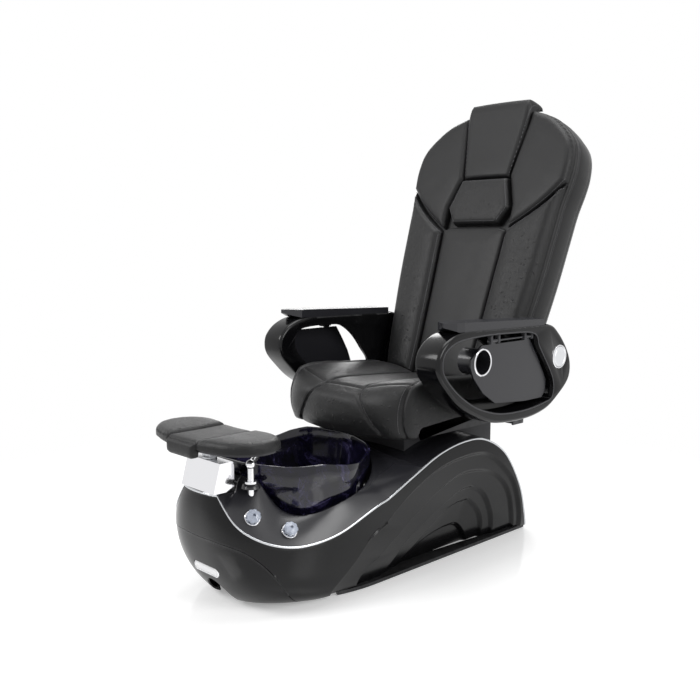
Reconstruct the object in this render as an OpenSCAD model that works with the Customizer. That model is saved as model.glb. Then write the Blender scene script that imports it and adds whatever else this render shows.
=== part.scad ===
// Pedicure spa chair: moulded base with a glass foot bowl, sliding seat, reclining
// massage back, lift-up arms with flip-up side trays, and an adjustable footrest.
// Frame: millimetres, +Z up, the sitter faces -Y, X = 0 is the middle plane, and the
// origin lies on the floor under the middle cross rail of the chassis.

/* [Base shell] */
// Half width of the base where it meets the floor
floor_half_w = 222; // [212:1:232]
// How far each side bulges out above its foot
side_bulge = 48; // [40:1:56]
// Length of the rounded nose at the floor
nose_len = 358; // [350:1:366]
// How far the nose overhangs its own foot
nose_bulge = 104; // [96:1:110]
// Height of the widest part of the base
belly_z = 260; // [245:1:275]
// Wall of the moulded shells
shell_wall = 5; // [4:0.5:6]
// Depth of each step of the side arches
arch_step = 11; // [7:1:13]
// Width of the sloping riser between two arch steps
arch_riser = 8; // [5:1:10]
// Half width of the bright strip along the deck's edge
trim_half_w = 3; // [2:0.5:4]
// Height of the crown of the deck across its width
deck_crown = 14; // [8:1:18]
// Free gap between neighbouring shells
shell_gap = 0.3; // [0.2:0.1:0.6]

/* [Foot bowl] */
// Place of the bowl's centre along the base
bowl_y = -320; // [-326:1:-314]
// Radius of the bowl's rim
bowl_r = 226; // [220:1:230]
// Radius of the deck's opening
opening_r = 235; // [232:1:240]
// Height of the bowl's floor
bowl_floor_z = 130; // [120:1:140]
// Glass thickness of the bowl
glass_t = 8; // [6:1:10]
// Radius of the drain hole
drain_r = 30; // [26:1:34]
// Radius of the drain outlet pipe
outlet_r = 20; // [18:1:22]
// Radius of the jet's hole in the bowl
jet_r = 38; // [34:1:40]

/* [Taps] */
// Radius of a tap knob
knob_r = 20; // [17:1:23]
// Height of a tap knob
knob_h = 22; // [16:1:28]
// Radius of a valve stem
stem_r = 5; // [4:0.5:6]

/* [Footrest] */
// Half width of the mirror-finished column
column_half_w = 76; // [70:1:82]
// Place of the footrest post along the base
post_y = -612; // [-616:1:-608]
// Radius of the footrest post
post_r = 14; // [12:0.5:16]
// Height of the footrest's tilting pin
foot_pin_z = 440; // [434:1:446]
// Radius of the footrest's tilting pin
foot_pin_r = 5; // [4:0.5:6]
// Half length of the footrest across the chair
foot_half_w = 222; // [205:1:235]
// Thickness of the footrest pads
foot_pad_t = 26; // [20:1:32]

/* [Seat] */
// Height of the chassis top plate
plate_z = 366; // [360:1:368]
// Half width between the slide rails
rail_x = 110; // [100:1:120]
// Half width of the seat cushion
seat_half_w = 270; // [260:1:274]
// Height of the seat cushion's underside at the front
seat_under_z = 412; // [410:1:418]
// Height of the seat cushion's bolsters
seat_top_z = 590; // [575:1:600]
// Foremost point of the seat cushion
seat_front_y = -165; // [-175:1:-155]
// Forward travel of the seat
seat_fwd = 60; // [40:1:60]
// Rearward travel of the seat
seat_aft = 80; // [50:1:80]

/* [Back] */
// Recline pivot, behind the seat
pivot_y = 430; // [426:1:434]
// Height of the recline pivot
pivot_z = 500; // [496:1:504]
// Lean of the upright back from vertical, in degrees
back_tilt = 19.5; // [16:0.5:22]
// Radius of the recline pin
pivot_r = 8; // [7:0.5:9]
// Front face of the back's middle panel, ahead of the pivot
back_face = 98; // [94:1:99]
// How far the side bolsters stand out from the middle panel
bolster_out = 18; // [10:1:22]
// Depth of the rear shell behind the pivot
back_rear = 74; // [66:1:80]
// Radius of the back frame's tubes
frame_r = 12; // [10:1:13]

/* [Arms] */
// Outer face of an arm
arm_out_x = 385; // [380:1:390]
// Inner face of an arm
arm_in_x = 295; // [293:1:298]
// Inner wall of an arm shell
arm_wall = 12; // [9:1:14]
// Edge rounding of an arm shell
arm_round = 9; // [6:1:12]
// Place of the arm's lifting pivot
arm_pivot_y = 420; // [416:1:424]
// Height of the arm's lifting pivot
arm_pivot_z = 600; // [596:1:604]
// Radius of the arm's pivot pin
arm_pin_r = 10; // [8:0.5:11]
// Thickness of a side tray
tray_t = 6; // [4:0.5:7]
// Radius of the cup holder's hole
cup_r = 36; // [32:1:38]
// Depth of the cup holder
cup_d = 56; // [45:1:58]
// Radius of the control disc
disc_r = 34; // [28:1:36]

/* [Fits] */
// Radial clearance of turning and sliding fits
run = 0.05; // [0.03:0.01:0.08]
// Clear space between parts that pass each other
clear = 3; // [2:0.5:4]

/* [Hidden] */
$fn = 40;

// ---------------------------------------------------------------- shared functions

// Point on a smooth curve through the points p, at t from 0 to len(p) - 1
function curve(p, t) =
    let (i = min(floor(t), len(p) - 2), u = t - i,
         a = p[max(i - 1, 0)], b = p[i], c = p[i + 1], d = p[min(i + 2, len(p) - 1)])
    0.5 * (2 * b + (c - a) * u + (2 * a - 5 * b + 4 * c - d) * u * u
           + (3 * b - a - 3 * c + d) * u * u * u);
// n + 1 points spread evenly along that curve
function curve_pts(p, n) = [for (k = [0 : n]) curve(p, (len(p) - 1) * k / n)];
function lerp(a, b, t) = a + (b - a) * t;
// A half outline, from bottom to top on +X, closed with its mirror image
function both_sides(h) = concat(h, [for (k = [len(h) - 1 : -1 : 0]) if (h[k].x > 0.01) [-h[k].x, h[k].y]]);

function rev(l) = [for (k = [len(l) - 1 : -1 : 0]) l[k]];

// Closed loops of equal count joined one to the next; "ring" also joins last to first
module loft(loops, ring = false) {
    n = len(loops);
    m = len(loops[0]);
    last = ring ? n : n - 1;
    sides = [for (i = [0 : last - 1], j = [0 : m - 1])
             let (k = (i + 1) % n, l = (j + 1) % m)
             each [[i * m + j, k * m + j, k * m + l], [i * m + j, k * m + l, i * m + l]]];
    ends = ring ? [] : concat(
        [for (j = [1 : m - 2]) [0, j, j + 1]],
        [for (j = [1 : m - 2]) [(n - 1) * m, (n - 1) * m + j + 1, (n - 1) * m + j]]);
    polyhedron([for (l = loops) each l], concat(sides, ends), convexity = 10);
}

// ---------------------------------------------------------------- base outline

nose_y = -200;
sill_h = 10;
floor_gap = 2;
foot_z = floor_gap + sill_h + shell_gap;
// Growth of the outline from the floor up to the belly
function bulge(z) = sin(90 * pow(max(z, 0) / belly_z, 0.75));
// Squareness of the nose seen from above
function plan_n(z) = 1.7 + 1.45 * sin(180 * pow(max(z, 0) / 400, 0.6));
// Point of the base's outer surface at height z. s runs from 0 at the nose to 1 at the
// end of its curve, then by 1 per metre along the straight side.
function skin(s, z, inset = 0) =
    let (w = floor_half_w + side_bulge * bulge(z) - inset,
         l = nose_len + nose_bulge * bulge(z) - inset, n = plan_n(z))
    s <= 1 ? [w * pow(sin(90 * s), 2 / n), nose_y - l * pow(cos(90 * s), 2 / n), z]
           : [w, nose_y + (s - 1) * 1000, z];
function flip(p) = [-p.x, p.y, p.z];
// The same point for a column of either side: negative columns are on -X
function skin_side(c, sz, inset) =
    let (p = skin(sz.x / 1000, sz.y, inset)) c < 0 ? flip(p) : p;

// Deck edge and side arches, as [1000 * s, z] points
nose_top_z = 327;
deck_edge = [[160, nose_top_z], [250, 265], [360, 230], [520, 203], [680, 193], [850, 208],
             [1000, 263], [1120, 313], [1240, 357], [1360, 375], [1460, 364], [1560, 305],
             [1645, 187], [1700, 80], [1740, foot_z]];
kick_seam = [[0, 204], [110, 204], [285, 191], [410, 158], [500, 106], [535, 45],
             [545, floor_gap]];
arches = [
    [[738, foot_z], [850, 60], [930, 108], [1000, 189], [1098, 257], [1206, 304],
     [1314, 326], [1434, 327], [1504, 301], [1578, 243], [1628, 187], [1680, 85],
     [1710, foot_z]],
    [[905, foot_z], [950, 45], [1013, 98], [1115, 169], [1231, 235], [1332, 270],
     [1412, 273], [1496, 256], [1564, 216], [1614, 160], [1655, 75], [1684, foot_z]],
    [[1037, foot_z], [1080, 55], [1135, 110], [1249, 168], [1340, 208], [1390, 219],
     [1430, 214], [1488, 179], [1539, 108], [1565, 50], [1574, foot_z]],
    [[1075, foot_z], [1140, 48], [1213, 98], [1293, 152], [1350, 172], [1395, 175],
     [1426, 168], [1485, 118], [1516, 63], [1526, foot_z]],
    [[1130, foot_z], [1170, 38], [1216, 72], [1290, 94], [1350, 100], [1385, 95],
     [1415, 75], [1445, 40], [1460, foot_z]]];

// Columns of the side mesh: cf of them round the nose, ca more along the arches
cf = 10;
ca = 24;
cn = cf + ca;
ck = 8;
edge_split = 4.6;
function edge_at(i) =
    i < 2 ? [80 * i, nose_top_z]
    : curve(deck_edge, i <= cf ? edge_split * (i - 2) / (cf - 2)
                               : lerp(edge_split, len(deck_edge) - 1, (i - cf) / ca));
// Unit normal of the deck edge, pointing up and out of the side
function edge_normal(i) =
    let (d = edge_at(min(i + 0.2, cn)) - edge_at(max(i - 0.2, 0))) [-d.y, d.x] / norm(d);
function edge_off(i, d) = let (p = edge_at(i) + d * edge_normal(i)) [max(p.x, 0), p.y];
// Lower edge of the plain side: kick panel seam, floor, then the first arch
function low_at(i) =
    i <= ck ? curve(kick_seam, (len(kick_seam) - 1) * i / ck)
    : i < cf ? [lerp(kick_seam[6].x, arches[0][0].x, (i - ck) / (cf - ck)), floor_gap]
    : curve(arches[0], (len(arches[0]) - 1) * (i - cf) / ca);
// Arch k drawn in towards its own middle by w
function arch_at(k, i, w) =
    let (a = arches[k], p = curve(a, (len(a) - 1) * (i - cf) / ca), e = a[len(a) - 1],
         mid = (a[0].x + e.x) / 2, rx = (e.x - a[0].x) / 2, rz = max([for (q = a) q.y]))
    [mid + (p.x - mid) * (1 - w / rx), foot_z + (p.y - foot_z) * (1 - w / rz)];

rows = 6;
steps = 2 * len(arches) - 1;
function plain_pt(c, r, extra) =
    let (i = abs(c), t = r / rows, sz = lerp(edge_off(i, -trim_half_w - shell_gap), low_at(i), t))
    skin_side(c, sz, extra);
function step_pt(c, r, extra) =
    let (k = floor(r / 2), inner = r % 2, depth = (k + inner) * arch_step)
    skin_side(c, arch_at(k, abs(c), inner * arch_riser), depth + extra);

na = (2 * cn + 1) * (rows + 1);
nb = (ca + 1) * steps;
// Index of a point: layer 0 is the outside, 1 the inside; r counts down from the edge
function ia(layer, c, r) = layer * na + (c + cn) * (rows + 1) + r;
function ib(layer, c, r) =
    r == 0 ? ia(layer, c, rows)
    : 2 * na + (layer * 2 + (c < 0 ? 1 : 0)) * nb + (abs(c) - cf) * steps + r - 1;
function quad(a, b, c, d) = [[a, b, c], [a, c, d]];
// A quad of the outside and the matching one of the inside
function both(f, a, b, c, d) = concat(quad(f[0][a], f[0][b], f[0][c], f[0][d]),
                                      quad(f[1][d], f[1][c], f[1][b], f[1][a]));
function wall(a, b, ai, bi) = quad(b, a, ai, bi);

// Sides and nose in one moulding, with nested arches stepping in on each side
module base_shell() color([0.05, 0.05, 0.055]) {
    pts = concat(
        [for (layer = [0, 1], c = [-cn : cn], r = [0 : rows]) plain_pt(c, r, layer * shell_wall)],
        [for (layer = [0, 1], side = [1, -1], i = [cf : cn], r = [1 : steps])
         step_pt(side * i, r, layer * shell_wall)]);
    plain = [for (c = [-cn : cn - 1], r = [0 : rows - 1])
             let (f = [for (l = [0, 1]) [ia(l, c, r), ia(l, c + 1, r), ia(l, c + 1, r + 1), ia(l, c, r + 1)]])
             each both(f, 0, 1, 2, 3)];
    stepped = [for (side = [1, -1], i = [cf : cn - 1], r = [0 : steps - 1])
               let (c = side > 0 ? i : -i - 1,
                    f = [for (l = [0, 1]) [ib(l, c, r), ib(l, c + 1, r), ib(l, c + 1, r + 1), ib(l, c, r + 1)]])
               each both(f, 0, 1, 2, 3)];
    // The innermost panel closes each arch over to itself
    panel = [for (side = [1, -1], k = [0 : ca / 2 - 1])
             let (a = side > 0 ? cf + k : -cn + k, b = side > 0 ? cn - k : -cf - k,
                  f = [for (l = [0, 1]) [ib(l, a, steps), ib(l, a + 1, steps), ib(l, b - 1, steps), ib(l, b, steps)]])
             each (k == ca / 2 - 1
                   ? [[f[0][0], f[0][1], f[0][3]], [f[1][3], f[1][1], f[1][0]]]
                   : both(f, 0, 1, 2, 3))];
    top = [for (c = [-cn : cn - 1]) each wall(ia(0, c, 0), ia(0, c + 1, 0), ia(1, c, 0), ia(1, c + 1, 0))];
    foot = [for (c = [-cf : cf - 1])
            each wall(ia(0, c + 1, rows), ia(0, c, rows), ia(1, c + 1, rows), ia(1, c, rows))];
    tails = [for (r = [0 : rows - 1]) each concat(
             wall(ia(0, cn, r), ia(0, cn, r + 1), ia(1, cn, r), ia(1, cn, r + 1)),
             wall(ia(0, -cn, r + 1), ia(0, -cn, r), ia(1, -cn, r + 1), ia(1, -cn, r)))];
    feet = [for (r = [0 : steps - 1], e = [[cf, 1], [-cn, 1], [cn, 0], [-cf, 0]])
            let (a = e[1] == 1 ? r + 1 : r, b = e[1] == 1 ? r : r + 1)
            each wall(ib(0, e[0], a), ib(0, e[0], b), ib(1, e[0], a), ib(1, e[0], b))];
    sills = [for (e = [[cn, cf], [-cf, -cn]])
             each wall(ib(0, e[0], steps), ib(0, e[1], steps), ib(1, e[0], steps), ib(1, e[1], steps))];
    polyhedron(pts, concat(plain, stepped, panel, top, foot, tails, feet, sills), convexity = 12);
}

// Flat ledges on the floor that the side arches stand on
module side_sills() color([0.05, 0.05, 0.055])
    for (side = [0, 1]) mirror([side, 0, 0])
        translate([0, 0, floor_gap]) linear_extrude(sill_h) {
            s0 = arches[0][0].x / 1000 + 0.01;
            s1 = deck_edge[len(deck_edge) - 1].x / 1000;
            n = 20;
            outer = [for (k = [0 : n]) let (p = skin(lerp(s0, s1, k / n), floor_gap)) [p.x, p.y]];
            inner = [for (k = [n : -1 : 0])
                     let (t = k / n, p = skin(lerp(s0, s1, t), floor_gap, 12 + 44 * sin(180 * pow(t, 0.7))))
                     [p.x, p.y]];
            polygon(concat(outer, inner));
        }

kick_rows = 4;
kick_gap = 2;
light_half_w = 57;
light_h = 26;
light_z = 103;
light_depth = 9;
// Hollow of the kick panel that the light bar lies in, seen from the front
module light_shape(grow = 0)
    hull() for (x = [-1, 1]) translate([x * (light_half_w - light_h / 2), light_z])
        circle(r = light_h / 2 + grow, $fn = 32);
light_face_y = skin(0, light_z).y + 4;

// Removable panel under the nose, with a toe notch and the lamp's seat
module kick_panel() color([0.05, 0.05, 0.055])
    difference() {
        loft([for (c = [-ck : ck])
              let (i = abs(c), top = low_at(i) - [0, kick_gap],
                   bottom = [min(top.x, kick_seam[6].x * i / ck), floor_gap],
                   s = [for (r = [0 : kick_rows]) lerp([max(top.x - kick_gap * 4 * i / ck, 0), max(top.y, floor_gap + 1)],
                                                       [max(bottom.x - kick_gap * 4 * i / ck, 0), floor_gap], r / kick_rows)])
              concat([for (q = s) skin_side(c, q, 1)],
                     [for (r = [kick_rows : -1 : 0]) skin_side(c, s[r], 1 + shell_wall)])]);
        translate([0, light_face_y + light_depth, 0]) rotate([90, 0, 0])
            linear_extrude(100) light_shape(shell_gap);
        // Toe notch, an arch open to the floor
        translate([0, nose_y - 250, 0]) rotate([90, 0, 0]) linear_extrude(300)
            intersection() {
                scale([0.75, 1]) circle(r = 70, $fn = 48);
                translate([-80, -1]) square([160, 80]);
            }
    }

// Oblong lamp lens set in the kick panel
module light_bar() color([0.9, 0.9, 0.92])
    translate([0, light_face_y + light_depth - shell_gap, 0]) rotate([90, 0, 0])
        linear_extrude(light_depth + 1) light_shape();

// ---------------------------------------------------------------- deck

cd = 17;
opening_z = [[0, 362], [25, 358], [31, 328], [37, 290], [45, 266], [54, 258], [66, 262],
             [82, 279], [95, 292], [112, 306], [135, 336], [160, 368], [180, 376]];
lip_h = 22;
deck_t = 4;
across = 6;
// Edge of the deck, just above the trim, at column c
function deck_pt(c, inset) =
    let (e = abs(c) < 2 ? [80 * abs(c), nose_top_z + trim_half_w + shell_gap]
                        : edge_off(abs(c), trim_half_w + shell_gap)) skin_side(c, e, inset);
// The crowned line across the deck from side to side at column i, drop below the top
function cross_pt(i, t, drop) =
    let (e = edge_off(i, trim_half_w + shell_gap), p = skin(e.x / 1000, e.y, 1 + 1.6 * drop),
         n = edge_normal(i), out = deck_crown * (1 - t * t) - (abs(t) < 1 ? drop : 0))
    [p.x * t, p.y + n.x * out, p.z + n.y * out];
seam_line = [for (k = [1 : across - 1]) 1 - 2 * k / across];
deck_cols = concat([for (c = [-cd : cd]) [0, c]], [for (t = seam_line) [1, t]]);
// Outer edge point of deck column q, and the same point moved in and down
function deck_outer(q, drop) =
    q[0] == 0 ? deck_pt(q[1], 1 + drop)
              : cross_pt(cd, q[1], drop) - [0, shell_gap + 0.1 + (drop > 0 ? 2 : 0), 0];
function opening_pt(p, r, dz) =
    let (a = atan2(p.y - bowl_y, p.x), f = abs(((a + 90 + 540) % 360) - 180))
    [r * cos(a), bowl_y + r * sin(a), lookup(f, opening_z) + dz];
// A point moved down and in towards the bowl's axis
function under(p) = let (d = norm([p.x, p.y - bowl_y])) p - [4 * p.x / d, 4 * (p.y - bowl_y) / d, deck_t + 2];
function deck_loop(q) =
    let (p = deck_outer(q, 0), u = deck_outer(q, shell_wall), o = opening_pt(p, opening_r, 0),
         swell = [0, 0, 5], shelf = q[0] == 0 && abs(q[1]) <= 2,
         a = shelf ? [p.x * 0.98, column_y1 + 4, p.z - 0.5] : lerp(p, o, 0.35) + swell,
         b = shelf ? lerp(a, o, 0.5) + swell : lerp(p, o, 0.72) + swell)
    [p, a, b, o, opening_pt(p, opening_r - 0.5, -lip_h), opening_pt(p, opening_r + deck_t - 1, -lip_h),
     under(b), under(a), u];

// Tap places on the near slope of the deck: [deck column, share of the way up its slope]
taps = [[5.2, 0.3], [7.9, 0.4]];
tap_seat_r = 21;
tap_seat_h = 1.5;
// Point of the deck's slope at column c (any number) and share t of the way up
function slope_pt(c, t) =
    let (i = floor(c), l = deck_loop([0, i]), m = deck_loop([0, i + 1]), k = t < 0.35 ? 0 : 1,
         u = k == 0 ? t / 0.35 : (t - 0.35) / 0.37)
    lerp(lerp(l[k], l[k + 1], u), lerp(m[k], m[k + 1], u), c - i);
// Puts children at a tap, with +Z along the stem out of the deck
module at_tap(k) {
    q = taps[k];
    n = cross(slope_pt(q[0] + 0.1, q[1]) - slope_pt(q[0], q[1]), slope_pt(q[0], q[1] + 0.05) - slope_pt(q[0], q[1] - 0.05));
    translate(slope_pt(q[0], q[1])) rotate([0, acos(n.z / norm(n)), atan2(n.y, n.x)]) children();
}
tap_boss = 14;

// Glossy deck round the bowl, with the raised collar of its opening
module bowl_deck() color([0.03, 0.03, 0.035])
    difference() {
        union() {
            loft([for (q = deck_cols) rev(deck_loop(q))], ring = true);
            for (k = [0, 1]) at_tap(k) translate([0, 0, -tap_boss]) cylinder(r = tap_seat_r, h = tap_boss + tap_seat_h);
            translate([spout_x, spout_y, spout_z - 34]) cylinder(r = 20, h = 34);
        }
        translate([spout_x, spout_y, spout_z - 60]) cylinder(r = 9 + shell_gap, h = 80);
        for (k = [0, 1]) at_tap(k) translate([0, 0, -60]) cylinder(r = stem_r + 1.5, h = 80);
        translate([0, post_y, 300]) cylinder(r = post_r + clear, h = 60);
    }

pedestal_half_w = 160;
pedestal_y0 = -10;
pedestal_y1 = 425;
// Deck behind the bowl, over the hump and down the rear to the floor
module rear_cover() color([0.03, 0.03, 0.035])
    difference() {
        loft([for (i = [cd : cn])
              rev(concat([for (k = [0 : across]) cross_pt(i, 1 - 2 * k / across, 0)],
                         [for (k = [across : -1 : 0]) cross_pt(i, 1 - 2 * k / across, shell_wall)]))]);
        translate([-pedestal_half_w - shell_gap, pedestal_y0 - shell_gap, 200])
            cube([2 * (pedestal_half_w + shell_gap), pedestal_y1 - pedestal_y0 + 2 * shell_gap, 260]);
        translate([0, 400, outlet_z]) rotate([-90, 0, 0]) cylinder(r = outlet_r + 4, h = 200);
        for (x = [-1, 1]) translate([x * inlet_x, 400, inlet_z]) rotate([-90, 0, 0])
            cylinder(r = inlet_r - 1 + shell_gap, h = 200);
    }

// Bright strip between the deck and the side shell
module deck_trim() color([0.75, 0.76, 0.78])
    loft([for (c = [-cn : cn])
          let (a = edge_off(abs(c), trim_half_w), b = edge_off(abs(c), -trim_half_w))
          [skin_side(c, a, -2), skin_side(c, b, -2), skin_side(c, b, shell_wall), skin_side(c, a, shell_wall)]]);

// ---------------------------------------------------------------- foot bowl

rim_z = [[0, 393], [25, 394], [45, 389], [70, 392], [90, 380], [108, 374], [126, 382],
         [150, 394], [180, 398], [205, 405], [218, 405], [232, 394], [244, 378], [270, 384],
         [300, 392], [330, 388], [360, 393]];
bowl_seg = 40;
band_z = 330;
function bowl_pt(a, r, z) = [r * cos(a), bowl_y + r * sin(a), z];
function bowl_loop(k) =
    let (a = -90 + 360 * k / bowl_seg, top = lookup(360 * k / bowl_seg, rim_z),
         r = bowl_r + 3 * sin(9 * a), g = glass_t, f = bowl_floor_z)
    [bowl_pt(a, drain_r, f), bowl_pt(a, r * 0.42, f + 2), bowl_pt(a, r * 0.7, f + 22),
     bowl_pt(a, r * 0.86, f + 62), bowl_pt(a, r * 0.93, f + 115), bowl_pt(a, r * 0.955, band_z - 20),
     bowl_pt(a, r * 0.97, band_z), bowl_pt(a, r, top), bowl_pt(a, r - g, top),
     bowl_pt(a, r * 0.97 - g, band_z), bowl_pt(a, r * 0.955 - g, band_z - 20),
     bowl_pt(a, r * 0.93 - g, f + 115), bowl_pt(a, r * 0.86 - g, f + 66),
     bowl_pt(a, r * 0.7 - g * 0.6, f + 22 + g), bowl_pt(a, r * 0.42, f + 2 + g),
     bowl_pt(a, drain_r, f + g)];
jet_z = 240;
jet_face_y = bowl_y - bowl_r * 0.8;

// Art-glass bowl with a thick wavy rim
module glass_bowl() color([0.25, 0.2, 0.4])
    difference() {
        loft([for (k = [0 : bowl_seg - 1]) rev(bowl_loop(k))], ring = true);
        translate([0, jet_face_y + 30, jet_z]) rotate([90, 0, 0]) cylinder(r = jet_r + shell_gap, h = 80);
    }

drain_len = 40;
// Chrome strainer flange and its threaded tail
module bowl_drain() color("silver")
    translate([0, bowl_y, 0]) difference() {
        union() {
            translate([0, 0, bowl_floor_z + glass_t + 0.25]) cylinder(r = drain_r + 6, h = 3);
            translate([0, 0, bowl_floor_z - drain_len]) cylinder(r = drain_r - 3, h = drain_len + glass_t + 1);
        }
        translate([0, 0, bowl_floor_z - drain_len - 1]) cylinder(r = drain_r - 7, h = drain_len + glass_t);
        for (a = [0 : 60 : 300]) rotate([0, 0, a]) translate([12, 0, bowl_floor_z])
            cylinder(r = 4, h = 30);
    }

outlet_z = 80;
outlet_end_y = 590;
spigot_len = 50;
outlet_bore = outlet_r - 3;
// Drain pipe from the strainer's tail to the spigot at the rear
module drain_trap() color([0.85, 0.85, 0.83])
    difference() {
        union() {
            translate([0, bowl_y, outlet_z]) rotate([-90, 0, 0]) cylinder(r = outlet_r - 1, h = outlet_end_y - bowl_y - 1);
            translate([0, outlet_end_y - spigot_len, outlet_z]) rotate([-90, 0, 0]) cylinder(r = outlet_r, h = spigot_len);
            translate([0, bowl_y, outlet_z]) cylinder(r = drain_r + 1, h = 40);
            translate([0, bowl_y, outlet_z - outlet_r - 4]) cylinder(r = drain_r + 1, h = 30);
        }
        translate([0, bowl_y, outlet_z]) rotate([-90, 0, 0]) cylinder(r = outlet_bore, h = outlet_end_y - bowl_y + 1);
        translate([0, bowl_y, bowl_floor_z - drain_len - shell_gap]) cylinder(r = drain_r - 3 + shell_gap, h = 60);
        translate([0, bowl_y, outlet_z - outlet_r]) cylinder(r = drain_r - 8, h = 60);
    }

jet_cup = 26;
impeller_r = 27;
// Grille ring and cup of the whirlpool jet, set through the bowl's front wall
module jet_housing() color([0.8, 0.8, 0.82])
    translate([0, jet_face_y, jet_z]) rotate([90, 0, 0]) difference() {
        union() {
            translate([0, 0, -6]) cylinder(r = jet_r + 6, h = 5);
            translate([0, 0, -6]) cylinder(r = jet_r, h = jet_cup + 30);
        }
        translate([0, 0, 0]) cylinder(r = jet_r - 4, h = jet_cup);
        for (a = [0 : 45 : 315]) rotate([0, 0, a]) translate([18, 0, -10]) cylinder(r = 5.5, h = 12);
        translate([0, 0, -10]) cylinder(r = 5, h = 12);
        translate([0, 0, jet_cup - 1]) cylinder(r = 4 + run, h = 40);
    }
// Motor behind the jet
module jet_motor() color([0.2, 0.2, 0.22])
    translate([0, jet_face_y - jet_cup - 24 - shell_gap, jet_z]) rotate([90, 0, 0]) difference() {
        union() {
            cylinder(r = jet_r - 6, h = 38);
            cylinder(r = jet_r, h = 5);
        }
        translate([0, 0, -1]) cylinder(r = 4 + run, h = 26);
    }
// Bladed wheel of the jet on its shaft
module jet_impeller() color([0.9, 0.9, 0.9])
    translate([0, jet_face_y - 6, jet_z]) rotate([90, 0, 0]) {
        cylinder(r = 8, h = 14);
        cylinder(r = 4, h = 62);
        translate([0, 0, 10]) cylinder(r = impeller_r, h = 3);
        for (a = [0 : 60 : 300]) rotate([0, 0, a]) translate([0, -1, 0]) cube([impeller_r - 1, 2, 12]);
    }

// ---------------------------------------------------------------- taps and water

// Plain side of a faceted knob, with eight flutes
module knob(k) at_tap(k) {
    difference() {
        translate([0, 0, tap_seat_h + shell_gap]) union() {
            cylinder(r = knob_r - 4, h = 4);
            translate([0, 0, 4]) cylinder(r = knob_r, h = knob_h - 7);
            translate([0, 0, knob_h - 3]) cylinder(r1 = knob_r, r2 = knob_r - 4, h = 3, $fn = 40);
        }
        for (a = [0 : 45 : 315]) rotate([0, 0, a]) translate([knob_r + 3, 0, 5])
            cylinder(r = 6, h = knob_h);
    }
    translate([0, 0, -40]) cylinder(r = stem_r, h = 40 + tap_seat_h + shell_gap + 1);
}
module knob_hot() color([0.8, 0.82, 0.86]) knob(0);
module knob_cold() color([0.8, 0.82, 0.86]) knob(1);

// Brass valve bodies clamped under the deck
module valve_bodies() color([0.72, 0.58, 0.3])
    for (k = [0, 1]) at_tap(k) difference() {
        translate([0, 0, -tap_boss - shell_gap - 34]) union() {
            cylinder(r = 12, h = 34);
            translate([0, 0, 26]) cylinder(r = 18, h = 8, $fn = 6);
        }
        translate([0, 0, -41]) cylinder(r = stem_r + run, h = 60);
    }

inlet_r = 10.5;
inlet_x = 62;
inlet_z = 120;
inlet_end_y = 590;
inlet_len = 45;
line_r = 6;
// Supply pipes from the threaded inlets, snug through the rear cover and along the base
module water_lines() color([0.75, 0.75, 0.78])
    for (x = [-1, 1]) translate([x * inlet_x, 0, inlet_z]) rotate([-90, 0, 0]) difference() {
        union() {
            translate([0, 0, inlet_end_y - inlet_len]) cylinder(r = inlet_r, h = inlet_len);
            translate([0, 0, 440]) cylinder(r = inlet_r - 1, h = inlet_end_y - 440 - inlet_len + 1);
            translate([0, 0, -120]) cylinder(r = line_r, h = 561);
        }
        translate([0, 0, inlet_end_y - 40]) cylinder(r = inlet_r - 3, h = 45);
    }

spout_x = 112;
spout_y = -560;
spout_z = 352;
// Swan-neck spout beside the column, pouring into the bowl
module spout() color("silver")
    translate([spout_x, spout_y, 0]) {
        translate([0, 0, spout_z - 40]) cylinder(r = 9, h = 91);
        translate([0, 0, spout_z + shell_gap]) cylinder(r = 17, h = 6);
        translate([0, 0, 403]) sphere(r = 13, $fn = 32);
        translate([0, 0, 403]) rotate([0, 78, 120]) difference() {
            cylinder(r = 10, h = 42);
            translate([0, 0, 20]) cylinder(r = 7.5, h = 30);
        }
    }

// ---------------------------------------------------------------- chassis and slide

tube_w = 36;
chassis_x = 142;
pad_h = 6;
post_px = 105;
chassis_ys = [-430, 0, 440];
seat_post_ys = [40, 390];
plate_t = 6;
pedestal_t = 4;
plate_in = pedestal_t + shell_gap;
// Welded floor frame with four posts and the slide's top plate
module chassis() color([0.15, 0.15, 0.16]) {
    for (x = [-1, 1]) translate([x * chassis_x - tube_w / 2, chassis_ys[0], pad_h])
        cube([tube_w, chassis_ys[2] - chassis_ys[0], tube_w]);
    for (y = chassis_ys) translate([-chassis_x, y - tube_w / 2, pad_h])
        cube([2 * chassis_x, tube_w, tube_w]);
    for (x = [-1, 1], y = seat_post_ys) {
        translate([x * post_px - tube_w / 2, y - tube_w / 2, pad_h]) cube([tube_w, tube_w, plate_z - pad_h]);
        translate([x > 0 ? post_px : -chassis_x, y - tube_w / 2, pad_h]) cube([chassis_x - post_px, tube_w, tube_w]);
    }
    // Tray for the electrical box, off to one side of the drain pipe
    translate([30, 0, pad_h + tube_w - 3]) cube([chassis_x - 30, 205, 3]);
    difference() {
        translate([-pedestal_half_w + plate_in, pedestal_y0 + plate_in, plate_z - plate_t])
            cube([2 * (pedestal_half_w - plate_in), pedestal_y1 - pedestal_y0 - 2 * plate_in, plate_t]);
        for (x = [-1, 1]) translate([x * rail_x, 215, plate_z - 20]) cylinder(r = 30, h = 40);
    }
}
box_size = [104, 130, 62];
box_at = [34, 68, pad_h + tube_w + shell_gap];
// Electrical box on the chassis tray, with its lid
module control_box() color([0.25, 0.26, 0.28])
    translate(box_at) {
        difference() {
            cube(box_size);
            translate([3, 3, 3]) cube(box_size - [6, 6, 0]);
        }
        translate([0, 0, box_size.z + shell_gap]) cube([box_size.x, box_size.y, 3]);
    }

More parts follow.
